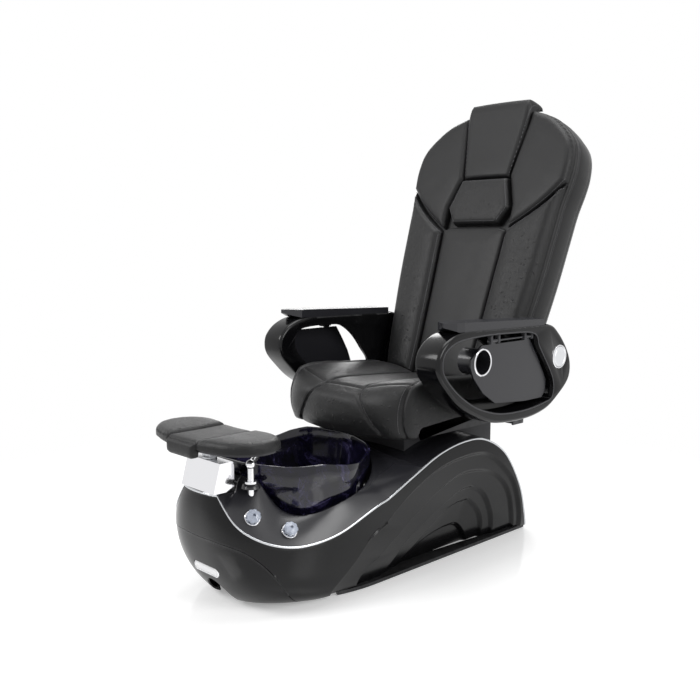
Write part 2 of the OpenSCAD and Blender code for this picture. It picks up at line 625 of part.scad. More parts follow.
// Rubber pads between the chassis and the floor
module floor_pads() color([0.1, 0.1, 0.1]) {
    cylinder(r = 22, h = pad_h);
    for (x = [-1, 1], y = [chassis_ys[0] + 15, chassis_ys[2] - 15])
        translate([x * chassis_x, y, 0]) cylinder(r = 16, h = pad_h);
}
pedestal_top = plate_z + 28;
// Black box that hides the slide between the base and the seat
module seat_pedestal() color([0.03, 0.03, 0.03])
    translate([0, 0, 230]) linear_extrude(pedestal_top - 230) difference() {
        translate([-pedestal_half_w, pedestal_y0]) square([2 * pedestal_half_w, pedestal_y1 - pedestal_y0]);
        translate([-pedestal_half_w + pedestal_t, pedestal_y0 + pedestal_t])
            square([2 * (pedestal_half_w - pedestal_t), pedestal_y1 - pedestal_y0 - 2 * pedestal_t]);
    }

rail_w = 44;
rail_h = 20;
lower_len = 390;
upper_len = 240;
rail_gap = 0.4;
// C-section of a slide rail along Y, open on top
module channel(w, h, t, lip, len) translate([0, len, 0]) rotate([90, 0, 0]) linear_extrude(len) {
    translate([-w / 2, 0]) square([w, t]);
    for (x = [-1, 1]) {
        translate([x > 0 ? w / 2 - t : -w / 2, 0]) square([t, h]);
        translate([x > 0 ? w / 2 - lip : -w / 2, h - t]) square([lip, t]);
    }
}
module lower_rails() color([0.55, 0.56, 0.58])
    for (x = [-1, 1]) translate([x * rail_x, 10, plate_z]) channel(rail_w, rail_h, 3, 12, lower_len);
slider_z = plate_z + 3 + rail_gap;
frame_z = plate_z + 34;
// T-section runners in the lower rails
module upper_rails() color([0.55, 0.56, 0.58])
    for (x = [-1, 1]) translate([x * rail_x, 85, 0]) {
        translate([-17, 0, slider_z]) cube([34, upper_len, rail_h - 6 - 2 * rail_gap]);
        translate([-8, 0, slider_z]) cube([16, upper_len, frame_z - slider_z]);
    }
act_z = plate_z + 17;
act_r = 12;
rod_r = 6;
act_y0 = 165;
act_y1 = 365;
// Electric actuator that drives the seat along its rails
module slide_actuator() color([0.3, 0.3, 0.32])
    difference() {
        union() {
            translate([0, act_y0, act_z]) rotate([-90, 0, 0]) cylinder(r = act_r, h = act_y1 - act_y0);
            translate([-20, act_y1 - 10, plate_z]) cube([40, 46, 30]);
            translate([-16, act_y0 + 20, plate_z]) cube([32, 20, act_z - plate_z]);
        }
        translate([0, act_y0 - 1, act_z]) rotate([-90, 0, 0]) cylinder(r = rod_r + run, h = act_y1 - act_y0);
    }
rod_lug_y = 62;
rod_tip_y = act_y1 - 12 - seat_aft;
module slide_rod() color("silver")
    translate([0, rod_lug_y, act_z]) rotate([-90, 0, 0]) cylinder(r = rod_r, h = rod_tip_y - rod_lug_y);

frame_tube = 24;
frame_half_w = 205;
frame_y0 = 10;
frame_y1 = 400;
pivot_plate_x = 198;
pivot_plate_t = 8;
// Welded frame under the cushion, with the recline pivot plates and actuator lugs
module seat_frame() color([0.12, 0.12, 0.13])
    difference() {
        union() {
            for (x = [-1, 1]) translate([x * frame_half_w - frame_tube / 2, frame_y0, frame_z])
                cube([frame_tube, frame_y1 - frame_y0, frame_tube]);
            for (y = [frame_y0, frame_y1 - frame_tube]) translate([-frame_half_w, y, frame_z])
                cube([2 * frame_half_w, frame_tube, frame_tube]);
            // Cross tube that carries the arm brackets
            translate([-bracket_x, arm_tube_y, frame_z]) cube([2 * bracket_x, frame_tube, frame_tube]);
            for (x = [-1, 1]) translate([x * pivot_plate_x - pivot_plate_t / 2, 0, 0]) {
                hull() {
                    translate([0, pivot_y, pivot_z]) rotate([0, 90, 0]) cylinder(r = 17, h = pivot_plate_t, $fn = 32);
                    translate([0, frame_y1 - 30, frame_z]) cube([pivot_plate_t, 30, frame_tube]);
                }
            }
            // Lug for the slide rod
            translate([-12, rod_lug_y, act_z - 8]) cube([24, 16, frame_z - act_z + 10]);
            // Clevis for the recline cylinder
            for (x = [-1, 1]) translate([x * 22 - 3, cyl_y - 12, frame_z + 8]) cube([6, 24, cyl_z - frame_z + 4]);
            translate([-25, frame_y0 + frame_tube - 1, frame_z]) cube([50, cyl_y - frame_y0 - frame_tube + 13, 8.5]);
        }
        for (x = [-1, 1]) translate([x * pivot_plate_x - 10, pivot_y, pivot_z]) rotate([0, 90, 0])
            cylinder(r = pivot_r, h = 20);
        translate([-40, cyl_y, cyl_z]) rotate([0, 90, 0]) cylinder(r = 5 + run, h = 80);
        translate([0, rod_lug_y - 1, act_z]) rotate([-90, 0, 0]) cylinder(r = rod_r, h = 30);
    }
pan_t = 8;
pan_z = frame_z + frame_tube + shell_gap;
pan_half_w = 235;
pan_y0 = -40;
pan_y1 = 330;
tunnel_w = 64;
tunnel_h = 56;
// Moulded pan between the frame and the cushion, with a tunnel over the cylinder
module seat_pan() color([0.05, 0.05, 0.05]) {
    difference() {
        translate([-pan_half_w, pan_y0, pan_z]) cube([2 * pan_half_w, pan_y1 - pan_y0, pan_t]);
        translate([-tunnel_w / 2, frame_y0 - 2, pan_z - 1]) cube([tunnel_w, 400, pan_t + 2]);
    }
    difference() {
        translate([-tunnel_w / 2 - 4, frame_y0 - 6, pan_z]) cube([tunnel_w + 8, pan_y1 - frame_y0 + 6, tunnel_h + 4]);
        translate([-tunnel_w / 2, frame_y0 - 2, pan_z - 1]) cube([tunnel_w, 400, tunnel_h + 1]);
    }
}

// ---------------------------------------------------------------- seat cushion

seat_rear_y = 322;
// Side profile of the seat cushion at t from -1 to 1 across it
function seat_loop(t) =
    let (e = pow(abs(t), 2.5), bow = 62 * e, x = seat_half_w * t, dip = 34 * (1 - pow(abs(t), 2)),
         f = seat_front_y + bow, top = seat_top_z - dip, u = seat_under_z + 6 * e,
         rise = 34 * e, pinch = abs(t) > 0.98 ? 10 : 0)
    [[x, f + 30 + pinch, u], [x, f + 8 + pinch, u + 22], [x, f + pinch, u + 62],
     [x, f + 6 + pinch, u + 108], [x, f + 34 + pinch, top - 16 - pinch], [x, f + 74, top - 2 - pinch],
     [x, f + 130, top - pinch], [x, 120, top - 8 - pinch], [x, 240, top - 16 - pinch],
     [x, seat_rear_y - 14, top - 24 - pinch], [x, seat_rear_y, top - 44],
     [x, seat_rear_y, pan_z + pan_t + 16 + rise], [x, seat_rear_y - 14, pan_z + pan_t + shell_gap + rise / 3],
     [x, 100, pan_z + pan_t + shell_gap + rise / 4], [x, pan_y0 + 60, pan_z + pan_t + shell_gap],
     [x, pan_y0 - 6, pan_z + pan_t + shell_gap], [x, pan_y0 - 6, u + 4]];
module seat_cushion() color([0.09, 0.09, 0.095])
    difference() {
        loft([for (k = [-6 : 6]) rev(seat_loop(k / 6))]);
        translate([-tunnel_w / 2 - 5, frame_y0 - 7, pan_z]) cube([tunnel_w + 10, 400, tunnel_h + 4 + shell_gap]);
    }

// ---------------------------------------------------------------- back

// Places children in the back's own frame: origin on the recline pivot, +Z up the back
module at_back() translate([0, pivot_y, pivot_z]) rotate([-back_tilt, 0, 0]) children();
// Extrudes a front-view outline from depth y0 to depth y1 in the back's frame
module slab(y0, y1) translate([0, y1, 0]) rotate([90, 0, 0]) linear_extrude(y1 - y0) children();

back_bottom = -5;
back_half = [[246, back_bottom], [264, 63], [284, 214], [301, 369], [312, 526], [319, 625],
             [331, 700], [335, 760], [325, 825], [294, 875], [232, 930], [165, 960], [88, 977],
             [0, 982]];
module back_outline() polygon(both_sides(curve_pts(back_half, 26)));
pad_back = -40;
pad_front = -70;
rim_back = 28;
panel_x0 = 122;
panel_x1 = 140;
panel_top = 532;
wing_tip = [panel_x1, panel_top];
wing_out = [328, 695];
// The curved lower edge of a wing, from its tip out to the side
wing_edge = curve_pts([wing_tip, [200, 572], [270, 630], wing_out], 8);
seam = 3;
module lower_bolster() intersection() {
    offset(delta = -seam) back_outline();
    polygon(concat([[panel_x0 + seam, back_bottom], [400, back_bottom], [400, 690]],
                   [for (k = [8 : -1 : 0]) wing_edge[k] + [seam, -2 * seam]]));
}
// Cushion of the back: front slab, side gusset, middle panel and the two bolsters
module back_cushion() color([0.09, 0.09, 0.095])
    at_back() {
        slab(pad_front, pad_back) back_outline();
        slab(pad_back, rim_back) difference() {
            back_outline();
            offset(delta = -24) back_outline();
            translate([-230, -40]) square([460, 80]);
        }
        slab(-back_face, pad_front) polygon([[-panel_x0 + seam, back_bottom], [panel_x0 - seam, back_bottom],
                                             [panel_x1 - seam, panel_top], [100, panel_top + 10],
                                             [-100, panel_top + 10], [-panel_x1 + seam, panel_top]]);
        for (s = [0, 1]) mirror([s, 0, 0]) {
            slab(-back_face - bolster_out + 8, pad_front) lower_bolster();
            slab(-back_face - bolster_out, -back_face) offset(delta = -14) lower_bolster();
        }
    }
hex_half = [[100, 553], [135, 609], [98, 720]];
flap_half = [[97, 724], [134, 1000]];
module wing_shape() intersection() {
    offset(delta = -seam) back_outline();
    difference() {
        polygon(concat([for (p = wing_edge) p + [0, seam]], [[420, 700], [420, 1010], [flap_half[1].x + seam, 1010],
                       [flap_half[0].x + seam, flap_half[0].y], hex_half[1] + [seam, 6], hex_half[1] + [seam, -6]]));
    }
}
// Smooth shoulder wing beside the head flap
module wing(side) mirror([side, 0, 0]) at_back() {
    slab(-back_face + 6, pad_front - shell_gap) wing_shape();
    slab(-back_face - 4, -back_face + 6) offset(delta = -12) wing_shape();
}
module wing_left() color([0.1, 0.1, 0.105]) wing(0);
module wing_right() color([0.1, 0.1, 0.105]) wing(1);
// Hexagonal neck pad
module neck_pad() color([0.09, 0.09, 0.095]) at_back() {
    slab(-back_face, pad_front - shell_gap) polygon(both_sides(hex_half));
    slab(-back_face - 6, -back_face) offset(delta = -8) polygon(both_sides(hex_half));
}
flap_top = 1000;
// Head flap that hangs over the top of the back
module headrest_flap() color([0.1, 0.1, 0.105]) at_back() intersection() {
    slab(-130, 0) polygon(both_sides(flap_half));
    rotate([90, 0, 90]) translate([0, 0, -150]) linear_extrude(300)
        polygon([[pad_front - shell_gap, 700], [-back_face, 700], [-back_face - 4, 800], [-back_face - 14, 950],
                 [-back_face - 12, flap_top - 6], [-back_face, flap_top], [-50, flap_top - 2], [-42, flap_top - 9],
                 [-42, 983], [pad_front - shell_gap, 983]]);
}
// Moulded rear shell
module back_shell() color([0.04, 0.04, 0.045])
    at_back() difference() {
        hull() {
            slab(rim_back + shell_gap, rim_back + 14) offset(delta = -2) back_outline();
            slab(back_rear - 6, back_rear) offset(delta = -34) back_outline();
        }
        hull() {
            slab(rim_back - 1, rim_back + 12) offset(delta = -6) back_outline();
            slab(back_rear - 10, back_rear - 4) offset(delta = -36) back_outline();
        }
        translate([-225, rim_back - 5, -60]) cube([450, back_rear, 70]);
    }
hoop_x = 180;
hoop_top = 800;
crank_len = 55;
crank_r = 5;
// Tubular frame with the recline lugs and the crank for the recline rod
module back_frame() color([0.15, 0.15, 0.16])
    at_back() difference() {
        union() {
            for (x = [-1, 1]) translate([x * hoop_x, -20, -12]) cylinder(r = frame_r, h = hoop_top + 12);
            for (z = [30, hoop_top]) translate([-hoop_x, -20, z]) rotate([0, 90, 0])
                cylinder(r = frame_r, h = 2 * hoop_x);
            for (x = [-1, 1]) translate([x > 0 ? hoop_x - 12 : -hoop_x - 5, -32, -14]) cube([17, 46, 40]);
            for (x = [-1, 1]) translate([x * 24 - 4, -14, -crank_len - 12]) cube([8, 28, crank_len + 46]);
            translate([-28, 0, -crank_len]) rotate([0, 90, 0]) cylinder(r = crank_r, h = 56);
            // Ties between the frame and the cushion board
            for (x = [-1, 1], z = [200, 600]) translate([x * hoop_x - 15, pad_back + shell_gap, z]) cube([30, 14, 40]);
            // Ties between the frame and the rear shell
            for (x = [-1, 1], z = [200, 600]) translate([x * hoop_x - 10, -20, z]) cube([20, back_rear - 4 + 20 - shell_gap, 20]);
        }
        translate([-hoop_x - 30, 0, 0]) rotate([0, 90, 0]) cylinder(r = pivot_r + run, h = 2 * hoop_x + 60);
    }
// Steel pins of the recline pivot
module recline_pin() color("silver")
    for (x = [-1, 1]) translate([x > 0 ? hoop_x - 16 : -hoop_x - 24, pivot_y, pivot_z]) rotate([0, 90, 0])
        cylinder(r = pivot_r, h = 40);

track_x = 85;
track_y = 8;
track_z0 = 70;
track_z1 = 860;
track_w = 22;
// Upright tracks of the massage mechanism
module massage_rails() color([0.6, 0.6, 0.62])
    at_back() {
        for (x = [-1, 1]) translate([x * track_x - track_w / 2, track_y, track_z0]) difference() {
            cube([track_w, 20, track_z1 - track_z0]);
            translate([x > 0 ? -1 : track_w - 12, 4, -1]) cube([13, 12, track_z1 - track_z0 + 2]);
        }
        for (z = [track_z0, track_z1 - 16]) translate([-track_x - 20, track_y + 20, z])
            cube([2 * track_x + 40, 10, 16]);
        for (z = [track_z0, track_z1 - 16], x = [-1, 1]) translate([x * (track_x + 10) - 8, track_y + 30, z])
            cube([16, back_rear - 4 - shell_gap - track_y - 30, 16]);
    }
carriage_z = 200;
carriage_h = 90;
knead_y = -8;
knead_r = 30;
// Carriage that climbs the tracks
module massage_carriage() color([0.3, 0.3, 0.33])
    at_back() translate([0, 0, carriage_z]) difference() {
        union() {
            translate([-60, track_y + 2, 0]) cube([120, 26, carriage_h]);
            for (x = [-1, 1]) {
                translate([x > 0 ? 50 : -60, knead_y - 10, carriage_h / 2 - 14]) cube([10, 30, 28]);
                for (z = [10, carriage_h - 26]) translate([x > 0 ? 58 : -track_x, track_y + 4.5, z])
                    cube([track_x - 58, 11, 16]);
            }
        }
        translate([-80, knead_y, carriage_h / 2]) rotate([0, 90, 0]) cylinder(r = 6 + run, h = 160);
        translate([-46, -40, -1]) cube([92, 62, carriage_h + 2]);
    }
// Kneading shaft with two eccentric rollers
module massage_rollers() color([0.75, 0.7, 0.6])
    at_back() translate([0, knead_y, carriage_z + carriage_h / 2]) {
        translate([-63, 0, 0]) rotate([0, 90, 0]) cylinder(r = 6, h = 126);
        for (x = [-1, 1]) translate([x * 28 - 9, 0, 4 * x]) rotate([0, 90, 0]) cylinder(r = knead_r - 6, h = 18);
    }

cyl_y = 80;
cyl_z = 450;
cyl_r = 15;
cyl_len = 165;
crank_y = pivot_y - crank_len * sin(back_tilt);
crank_z = pivot_z - crank_len * cos(back_tilt);
link_angle = atan2(crank_z - cyl_z, crank_y - cyl_y);
link_len = norm([crank_y - cyl_y, crank_z - cyl_z]);
// Puts children at the cylinder's pin, with +Z along the rod
module at_link() translate([0, cyl_y, cyl_z]) rotate([link_angle - 90, 0, 0]) children();
module recline_cylinder() color([0.3, 0.3, 0.32])
    at_link() difference() {
        union() {
            translate([-18, 0, 0]) rotate([0, 90, 0]) cylinder(r = 9, h = 36);
            translate([-27, 0, 0]) rotate([0, 90, 0]) cylinder(r = 5, h = 54);
            cylinder(r = cyl_r, h = cyl_len);
        }
        translate([0, 0, 20]) cylinder(r = 7 + run, h = cyl_len);
    }
eye_clear = 6;
module recline_rod() color("silver")
    at_link() difference() {
        union() {
            translate([0, 0, link_len - 210]) cylinder(r = 7, h = 200);
            translate([-9, 0, link_len]) rotate([0, 90, 0]) cylinder(r = crank_r + eye_clear + 6, h = 18);
        }
        translate([-20, 0, link_len]) rotate([0, 90, 0]) cylinder(r = crank_r + eye_clear, h = 40);
    }

// ---------------------------------------------------------------- footrest

column_y0 = -655;
column_y1 = -588;
column_z0 = nose_top_z + trim_half_w + 2 * shell_gap;
column_z1 = 410;
// Mirror-finished column with the post's sleeve
module mirror_column() color([0.85, 0.86, 0.88])
    difference() {
        translate([-column_half_w, 0, 0]) rotate([90, 0, 90]) linear_extrude(2 * column_half_w)
            polygon([[column_y0, column_z0], [column_y0 + 22, column_z1], [column_y1 - 4, column_z1],
                     [column_y1, column_z1 - 4], [column_y1, column_z0]]);
        translate([0, post_y, column_z0 - 10]) cylinder(r = post_r + run, h = 120);
    }
head_w = 36;
post_bottom = 262;
// Sliding post with the head that the footrest tilts on
module footrest_post() color([0.8, 0.8, 0.82])
    difference() {
        union() {
            translate([0, post_y, post_bottom]) cylinder(r = post_r, h = foot_pin_z - 14 - post_bottom);
            translate([0, post_y, column_z1 + 0.5]) cylinder(r = post_r + 6, h = 5);
            translate([-head_w / 2, post_y - 12, column_z1 + 5]) cube([head_w, 24, foot_pin_z - column_z1 - 5]);
            translate([-head_w / 2, post_y, foot_pin_z]) rotate([0, 90, 0]) cylinder(r = 12, h = head_w);
        }
        translate([-head_w, post_y, foot_pin_z]) rotate([0, 90, 0]) cylinder(r = foot_pin_r + run, h = 2 * head_w);
    }
module footrest_pin() color("silver")
    translate([-head_w / 2 - 12, post_y, foot_pin_z]) rotate([0, 90, 0]) cylinder(r = foot_pin_r, h = head_w + 24);

plate_top = 458;
foot_front = [[0, -704], [62, -702], [110, -694], [165, -676], [205, -642], [foot_half_w, -600]];
foot_rear = [[foot_half_w, -600], [foot_half_w - 4, -556], [190, -520], [140, -502], [70, -508], [0, -512]];
foot_outline = both_sides(concat(curve_pts(foot_front, 12), [for (k = [1 : 12]) curve_pts(foot_rear, 12)[k]]));
// Gloss underside of the footrest with the ears of its tilting pin
module footrest_plate() color([0.03, 0.03, 0.03])
    difference() {
        union() {
            translate([0, 0, plate_top - 7]) linear_extrude(7) offset(delta = -7) polygon(foot_outline);
            for (x = [-1, 1]) hull() {
                translate([x > 0 ? head_w / 2 + 1 : -head_w / 2 - 9, post_y, foot_pin_z]) rotate([0, 90, 0])
                    cylinder(r = 11, h = 8, $fn = 32);
                translate([x > 0 ? head_w / 2 + 1 : -head_w / 2 - 9, post_y - 20, plate_top - 8]) cube([8, 40, 4]);
            }
        }
        translate([-head_w, post_y, foot_pin_z]) rotate([0, 90, 0]) cylinder(r = foot_pin_r, h = 2 * head_w);
        translate([-head_w / 2 - 1, post_y - 19, foot_pin_z - 20]) cube([head_w + 2, 38, 35]);
    }
pad_split = 66;
pad_seam = 3;
// Part of the footrest's outline between x0 and x1, with a curved inner seam
module pad_piece(x0, x1, grow) intersection() {
    offset(delta = grow) polygon(foot_outline);
    polygon([[x0 + 10, -760], [x0, -700], [x0 - 2, -600], [x0 + 6, -460], [x1 + 6, -460], [x1 - 2, -600],
             [x1, -700], [x1 + 10, -760]]);
}
module foot_pad(x0, x1) {
    translate([0, 0, plate_top + shell_gap]) linear_extrude(foot_pad_t * 0.7) pad_piece(x0, x1, 0);
    translate([0, 0, plate_top + foot_pad_t * 0.7]) linear_extrude(foot_pad_t * 0.3) offset(delta = -8) pad_piece(x0, x1, 0);
}
module footrest_pad_left() color([0.08, 0.08, 0.085]) foot_pad(pad_split + pad_seam, 400);
module footrest_pad_right() color([0.08, 0.08, 0.085]) mirror([1, 0, 0]) foot_pad(pad_split + pad_seam, 400);
// Middle pad, which wraps down over the front edge
module footrest_pad_middle() color([0.08, 0.08, 0.085]) {
    intersection() {
        foot_pad(-400, 400);
        translate([-pad_split, -800, 400]) cube([2 * pad_split, 400, 200]);
    }
    translate([-pad_split + 4, -712, 432]) cube([2 * pad_split - 8, 13, plate_top + 16 - 432]);
}

// ---------------------------------------------------------------- arms

arm_outline = curve_pts([[-121, 645], [-112, 681], [-72, 716], [-5, 736], [120, 738], [300, 734],
                         [425, 730], [478, 702], [530, 645], [553, 592], [542, 540], [480, 491],
                         [410, 457], [300, 442], [150, 451], [44, 489], [-26, 528], [-77, 574],
                         [-111, 612], [-121, 645]], 57);
recess_outline = curve_pts([[-98, 646], [-86, 682], [-35, 707], [60, 716], [200, 716], [335, 706],
                            [368, 660], [442, 560], [446, 500], [400, 484], [300, 474], [180, 478],
                            [87, 500], [21, 529], [-42, 572], [-86, 616], [-98, 646]], 48);
window_outline = curve_pts([[-57, 663], [-38, 693], [10, 703], [100, 704], [160, 697], [215, 660],
                            [260, 606], [290, 560], [250, 520], [150, 512], [60, 535], [0, 575],
                            [-45, 620], [-57, 663]], 39);
// Extrudes a side-view outline (y, z) from x0 to x1 on the +X side
module side_slab(x0, x1) translate([x0, 0, 0]) rotate([90, 0, 90]) linear_extrude(x1 - x0) children();
boss_depth = 34;
// Height of the flat seat of an arm's top piece, at its front and rear
arm_seat = [735, 728];
// C-shaped moulded arm with a recess for its tray and a window through its inner wall
module arm_shell(side) mirror([side, 0, 0])
    difference() {
        hull() {
            side_slab(arm_in_x, arm_out_x) offset(delta = -arm_round) polygon(arm_outline);
            side_slab(arm_in_x + arm_round, arm_out_x - arm_round) polygon(arm_outline);
        }
        difference() {
            side_slab(arm_in_x + arm_wall, arm_out_x + 10) polygon(recess_outline);
            translate([arm_in_x, arm_pivot_y, arm_pivot_z]) rotate([0, 90, 0]) cylinder(r = arm_pin_r + 8, h = boss_depth);
            // Lugs that carry the tray's hinge pin
            for (y = side == 0 ? hinge_ys : [hinge_ys[0]], e = [-1, 1])
                translate([hinge_x - 7, y + e * (knuckle_l / 2 + 6) - 5, hinge_z - 8]) cube([14, 10, 30]);
        }
        side_slab(arm_in_x - 5, arm_in_x + arm_wall + 5) polygon(window_outline);
        side_slab(arm_in_x - 1, arm_out_x + 1)
            polygon([[-22, arm_seat[0]], [422, arm_seat[1]], [422, 800], [-22, 800]]);
        translate([arm_in_x - 1, arm_pivot_y, arm_pivot_z]) rotate([0, 90, 0]) cylinder(r = arm_pin_r + run, h = boss_depth - 6);
        translate([hinge_x, hinge_ys[0] - 40, hinge_z]) rotate([-90, 0, 0]) cylinder(r = hinge_r, h = hinge_ys[1] - hinge_ys[0] + 80);
        if (side == 0) {
            translate([arm_out_x - 9, disc_y, disc_z]) rotate([0, 90, 0]) cylinder(r = disc_r + 1.5, h = 20);
            translate([arm_out_x - 9, disc_y - 11, disc_z]) rotate([-90, 0, 0]) cylinder(r = 3 + run, h = 22);
        }
    }
module arm_shell_left() color([0.05, 0.05, 0.055]) arm_shell(0);
module arm_shell_right() color([0.05, 0.05, 0.055]) arm_shell(1);

top_rear_y = 408;
top_tip_y = -66;
// Thin gloss rest on top of an arm, pointed at the front and falling to the rear
module arm_top(side) mirror([side, 0, 0])
    intersection() {
        translate([0, 0, 700]) linear_extrude(100)
            polygon([[arm_in_x + 3, -22], [arm_in_x + 60, top_tip_y], [arm_out_x - 8, -30], [arm_out_x - 5, 0],
                     [arm_out_x - 5, top_rear_y - 8], [arm_out_x - 12, top_rear_y], [arm_in_x + 10, top_rear_y],
                     [arm_in_x + 3, top_rear_y - 8]]);
        side_slab(arm_in_x, arm_out_x)
            polygon([[-80, 762], [-80, 755], [-22, arm_seat[0] + shell_gap], [422, arm_seat[1] + shell_gap],
                     [422, 748], [0, 762]]);
    }
module arm_top_left() color([0.02, 0.02, 0.02]) arm_top(0);
module arm_top_right() color([0.02, 0.02, 0.02]) arm_top(1);

bracket_x = 289;
bracket_t = 6;
arm_tube_y = arm_pivot_y - 40;
// Steel bracket from the seat frame, with the pin that the arm lifts on
module arm_pivot(side) mirror([side, 0, 0]) {
    side_slab(bracket_x + shell_gap - bracket_t, bracket_x + shell_gap) difference() {
        hull() {
            translate([arm_pivot_y, arm_pivot_z]) circle(r = 22);
            translate([arm_tube_y - 8, frame_z - 2]) square([56, 10]);
        }
        translate([arm_tube_y - shell_gap, frame_z - shell_gap]) square([frame_tube + 2 * shell_gap, frame_tube + 2 * shell_gap]);
    }
    translate([bracket_x, arm_pivot_y, arm_pivot_z]) rotate([0, 90, 0]) cylinder(r = arm_pin_r, h = arm_in_x - bracket_x + boss_depth - 10);
}
module arm_pivot_left() color([0.4, 0.4, 0.42]) arm_pivot(0);
module arm_pivot_right() color([0.4, 0.4, 0.42]) arm_pivot(1);

hinge_x = 371;
hinge_z = 699;
hinge_r = 3;
hinge_ys = [150, 320];
knuckle_l = 24;
tray_x = 362;
cup_y = 99;
cup_z = 638;
tray_left_outline = [[96, 688], [46, 650], [44, 628], [60, 594], [105, 545], [165, 508], [317, 496], [410, 496],
                     [430, 514], [432, 552], [384, 626], [338, 688]];
tray_right_outline = [[-20, 688], [-44, 660], [-40, 630], [-10, 596], [40, 560], [95, 532], [262, 532],
                      [270, 550], [252, 597], [227, 640], [196, 688]];
// Folding tray: plate, hinge knuckles and pin, and on the left the cup holder
module side_tray(side, shape) mirror([side, 0, 0])
    difference() {
        union() {
            side_slab(tray_x, tray_x + tray_t) offset(r = 6) offset(delta = -6) polygon(shape);
            for (y = side == 0 ? hinge_ys : [hinge_ys[0]]) {
                translate([hinge_x, y - knuckle_l / 2, hinge_z]) rotate([-90, 0, 0]) cylinder(r = 6, h = knuckle_l);
                translate([tray_x, y - knuckle_l / 2, 680]) cube([tray_t, knuckle_l, hinge_z - 680]);
            }
            translate([hinge_x, hinge_ys[0] - 30, hinge_z]) rotate([-90, 0, 0])
                cylinder(r = hinge_r - run, h = (side == 0 ? hinge_ys[1] - hinge_ys[0] : 0) + 60);
            if (side == 0) translate([tray_x - cup_d, cup_y, cup_z]) rotate([0, 90, 0]) cylinder(r = cup_r + 3, h = cup_d + tray_t + 3);
        }
        if (side == 0) translate([tray_x - cup_d + 3, cup_y, cup_z]) rotate([0, 90, 0]) cylinder(r = cup_r, h = cup_d + 20);
    }
module side_tray_left() color([0.03, 0.03, 0.03]) side_tray(0, tray_left_outline);
module side_tray_right() color([0.03, 0.03, 0.03]) side_tray(1, tray_right_outline);

disc_y = 482;
disc_z = 622;
// Silver rocker that works the seat's motors
module control_rocker() color([0.8, 0.81, 0.83])
    translate([arm_out_x - 6, disc_y, disc_z]) {
        rotate([0, 90, 0]) cylinder(r = disc_r, h = 8);
        translate([-3, -10, 0]) rotate([-90, 0, 0]) cylinder(r = 3, h = 20);
        translate([-2.5, -10, -2]) cube([3.5, 20, 4]);
    }

// ---------------------------------------------------------------- the part

chassis();
floor_pads();
base_shell();
side_sills();
kick_panel();
light_bar();
bowl_deck();
rear_cover();
deck_trim();
glass_bowl();
bowl_drain();
drain_trap();
jet_housing();
jet_motor();
jet_impeller();
mirror_column();
spout();
valve_bodies();
knob_hot();
knob_cold();
water_lines();
control_box();
seat_pedestal();
lower_rails();
slide_actuator();
upper_rails();
slide_rod();
seat_frame();
seat_pan();
seat_cushion();
recline_pin();
footrest_post();
footrest_pin();
footrest_plate();
footrest_pad_left();
footrest_pad_middle();
footrest_pad_right();
back_frame();
back_shell();
back_cushion();
wing_left();
wing_right();
neck_pad();
headrest_flap();
massage_rails();
massage_carriage();
massage_rollers();
recline_cylinder();
recline_rod();
arm_shell_left();
arm_shell_right();
arm_top_left();
arm_top_right();
arm_pivot_left();
arm_pivot_right();
side_tray_left();
side_tray_right();
control_rocker();
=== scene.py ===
"""Pedicure spa chair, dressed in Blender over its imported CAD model. Metres, +Z up, sitter faces -Y."""

import logging
import math
from dataclasses import dataclass, field
from enum import Enum
from typing import Callable, Sequence

import bmesh
import bpy
import numpy as np
from mathutils import Matrix, Vector, noise
from mathutils.geometry import delaunay_2d_cdt


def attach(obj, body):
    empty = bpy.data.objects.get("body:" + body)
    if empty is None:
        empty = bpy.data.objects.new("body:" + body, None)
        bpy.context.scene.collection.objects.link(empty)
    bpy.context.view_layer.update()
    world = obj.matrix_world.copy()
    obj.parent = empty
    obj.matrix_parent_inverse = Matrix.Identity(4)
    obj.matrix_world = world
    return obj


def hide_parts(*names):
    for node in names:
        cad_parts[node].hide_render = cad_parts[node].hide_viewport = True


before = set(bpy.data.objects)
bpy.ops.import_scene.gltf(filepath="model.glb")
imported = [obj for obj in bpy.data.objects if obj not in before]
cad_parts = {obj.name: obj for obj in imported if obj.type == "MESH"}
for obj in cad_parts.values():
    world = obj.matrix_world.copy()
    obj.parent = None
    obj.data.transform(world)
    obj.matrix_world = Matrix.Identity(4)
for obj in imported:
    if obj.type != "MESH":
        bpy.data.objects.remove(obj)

logging.basicConfig(level=logging.INFO, format="%(message)s")
LOG = logging.getLogger("chair")
MM = 0.001
Array = np.ndarray


# ------------------------------------------------------------------ curves and meshes


def spline(points: Sequence[Sequence[float]], t: Array, closed: bool = False) -> Array:
    """Samples a Catmull-Rom curve.

    Args:
        points: control points, each of any dimension.
        t: places along the curve, in control-point steps.
        closed: True if the last point joins the first.
    Returns:
        One row per entry of t.
    """
    p = np.asarray(points, float)
    n = len(p)
    t = np.atleast_1d(np.asarray(t, float))
    last = n if closed else n - 1
    i = np.clip(np.floor(t).astype(int), 0, last - 1)
    u = (t - i)[:, None]

    def at(k: Array) -> Array:
        """Control points at indices k."""
        return p[k % n] if closed else p[np.clip(k, 0, n - 1)]

    a, b, c, d = at(i - 1), at(i), at(i + 1), at(i + 2)
    return 0.5 * (
        2 * b + (c - a) * u + (2 * a - 5 * b + 4 * c - d) * u**2 + (3 * b - a - 3 * c + d) * u**3
    )


def even(path: Array, count: int, closed: bool = False) -> Array:
    """Resamples a polyline to count points at equal steps along it."""
    p = np.vstack([path, path[:1]]) if closed else path
    run = along(p)
    at = np.linspace(0, run[-1], count + 1)[:-1] if closed else np.linspace(0, run[-1], count)
    return np.stack([np.interp(at, run, p[:, k]) for k in range(p.shape[1])], axis=1)


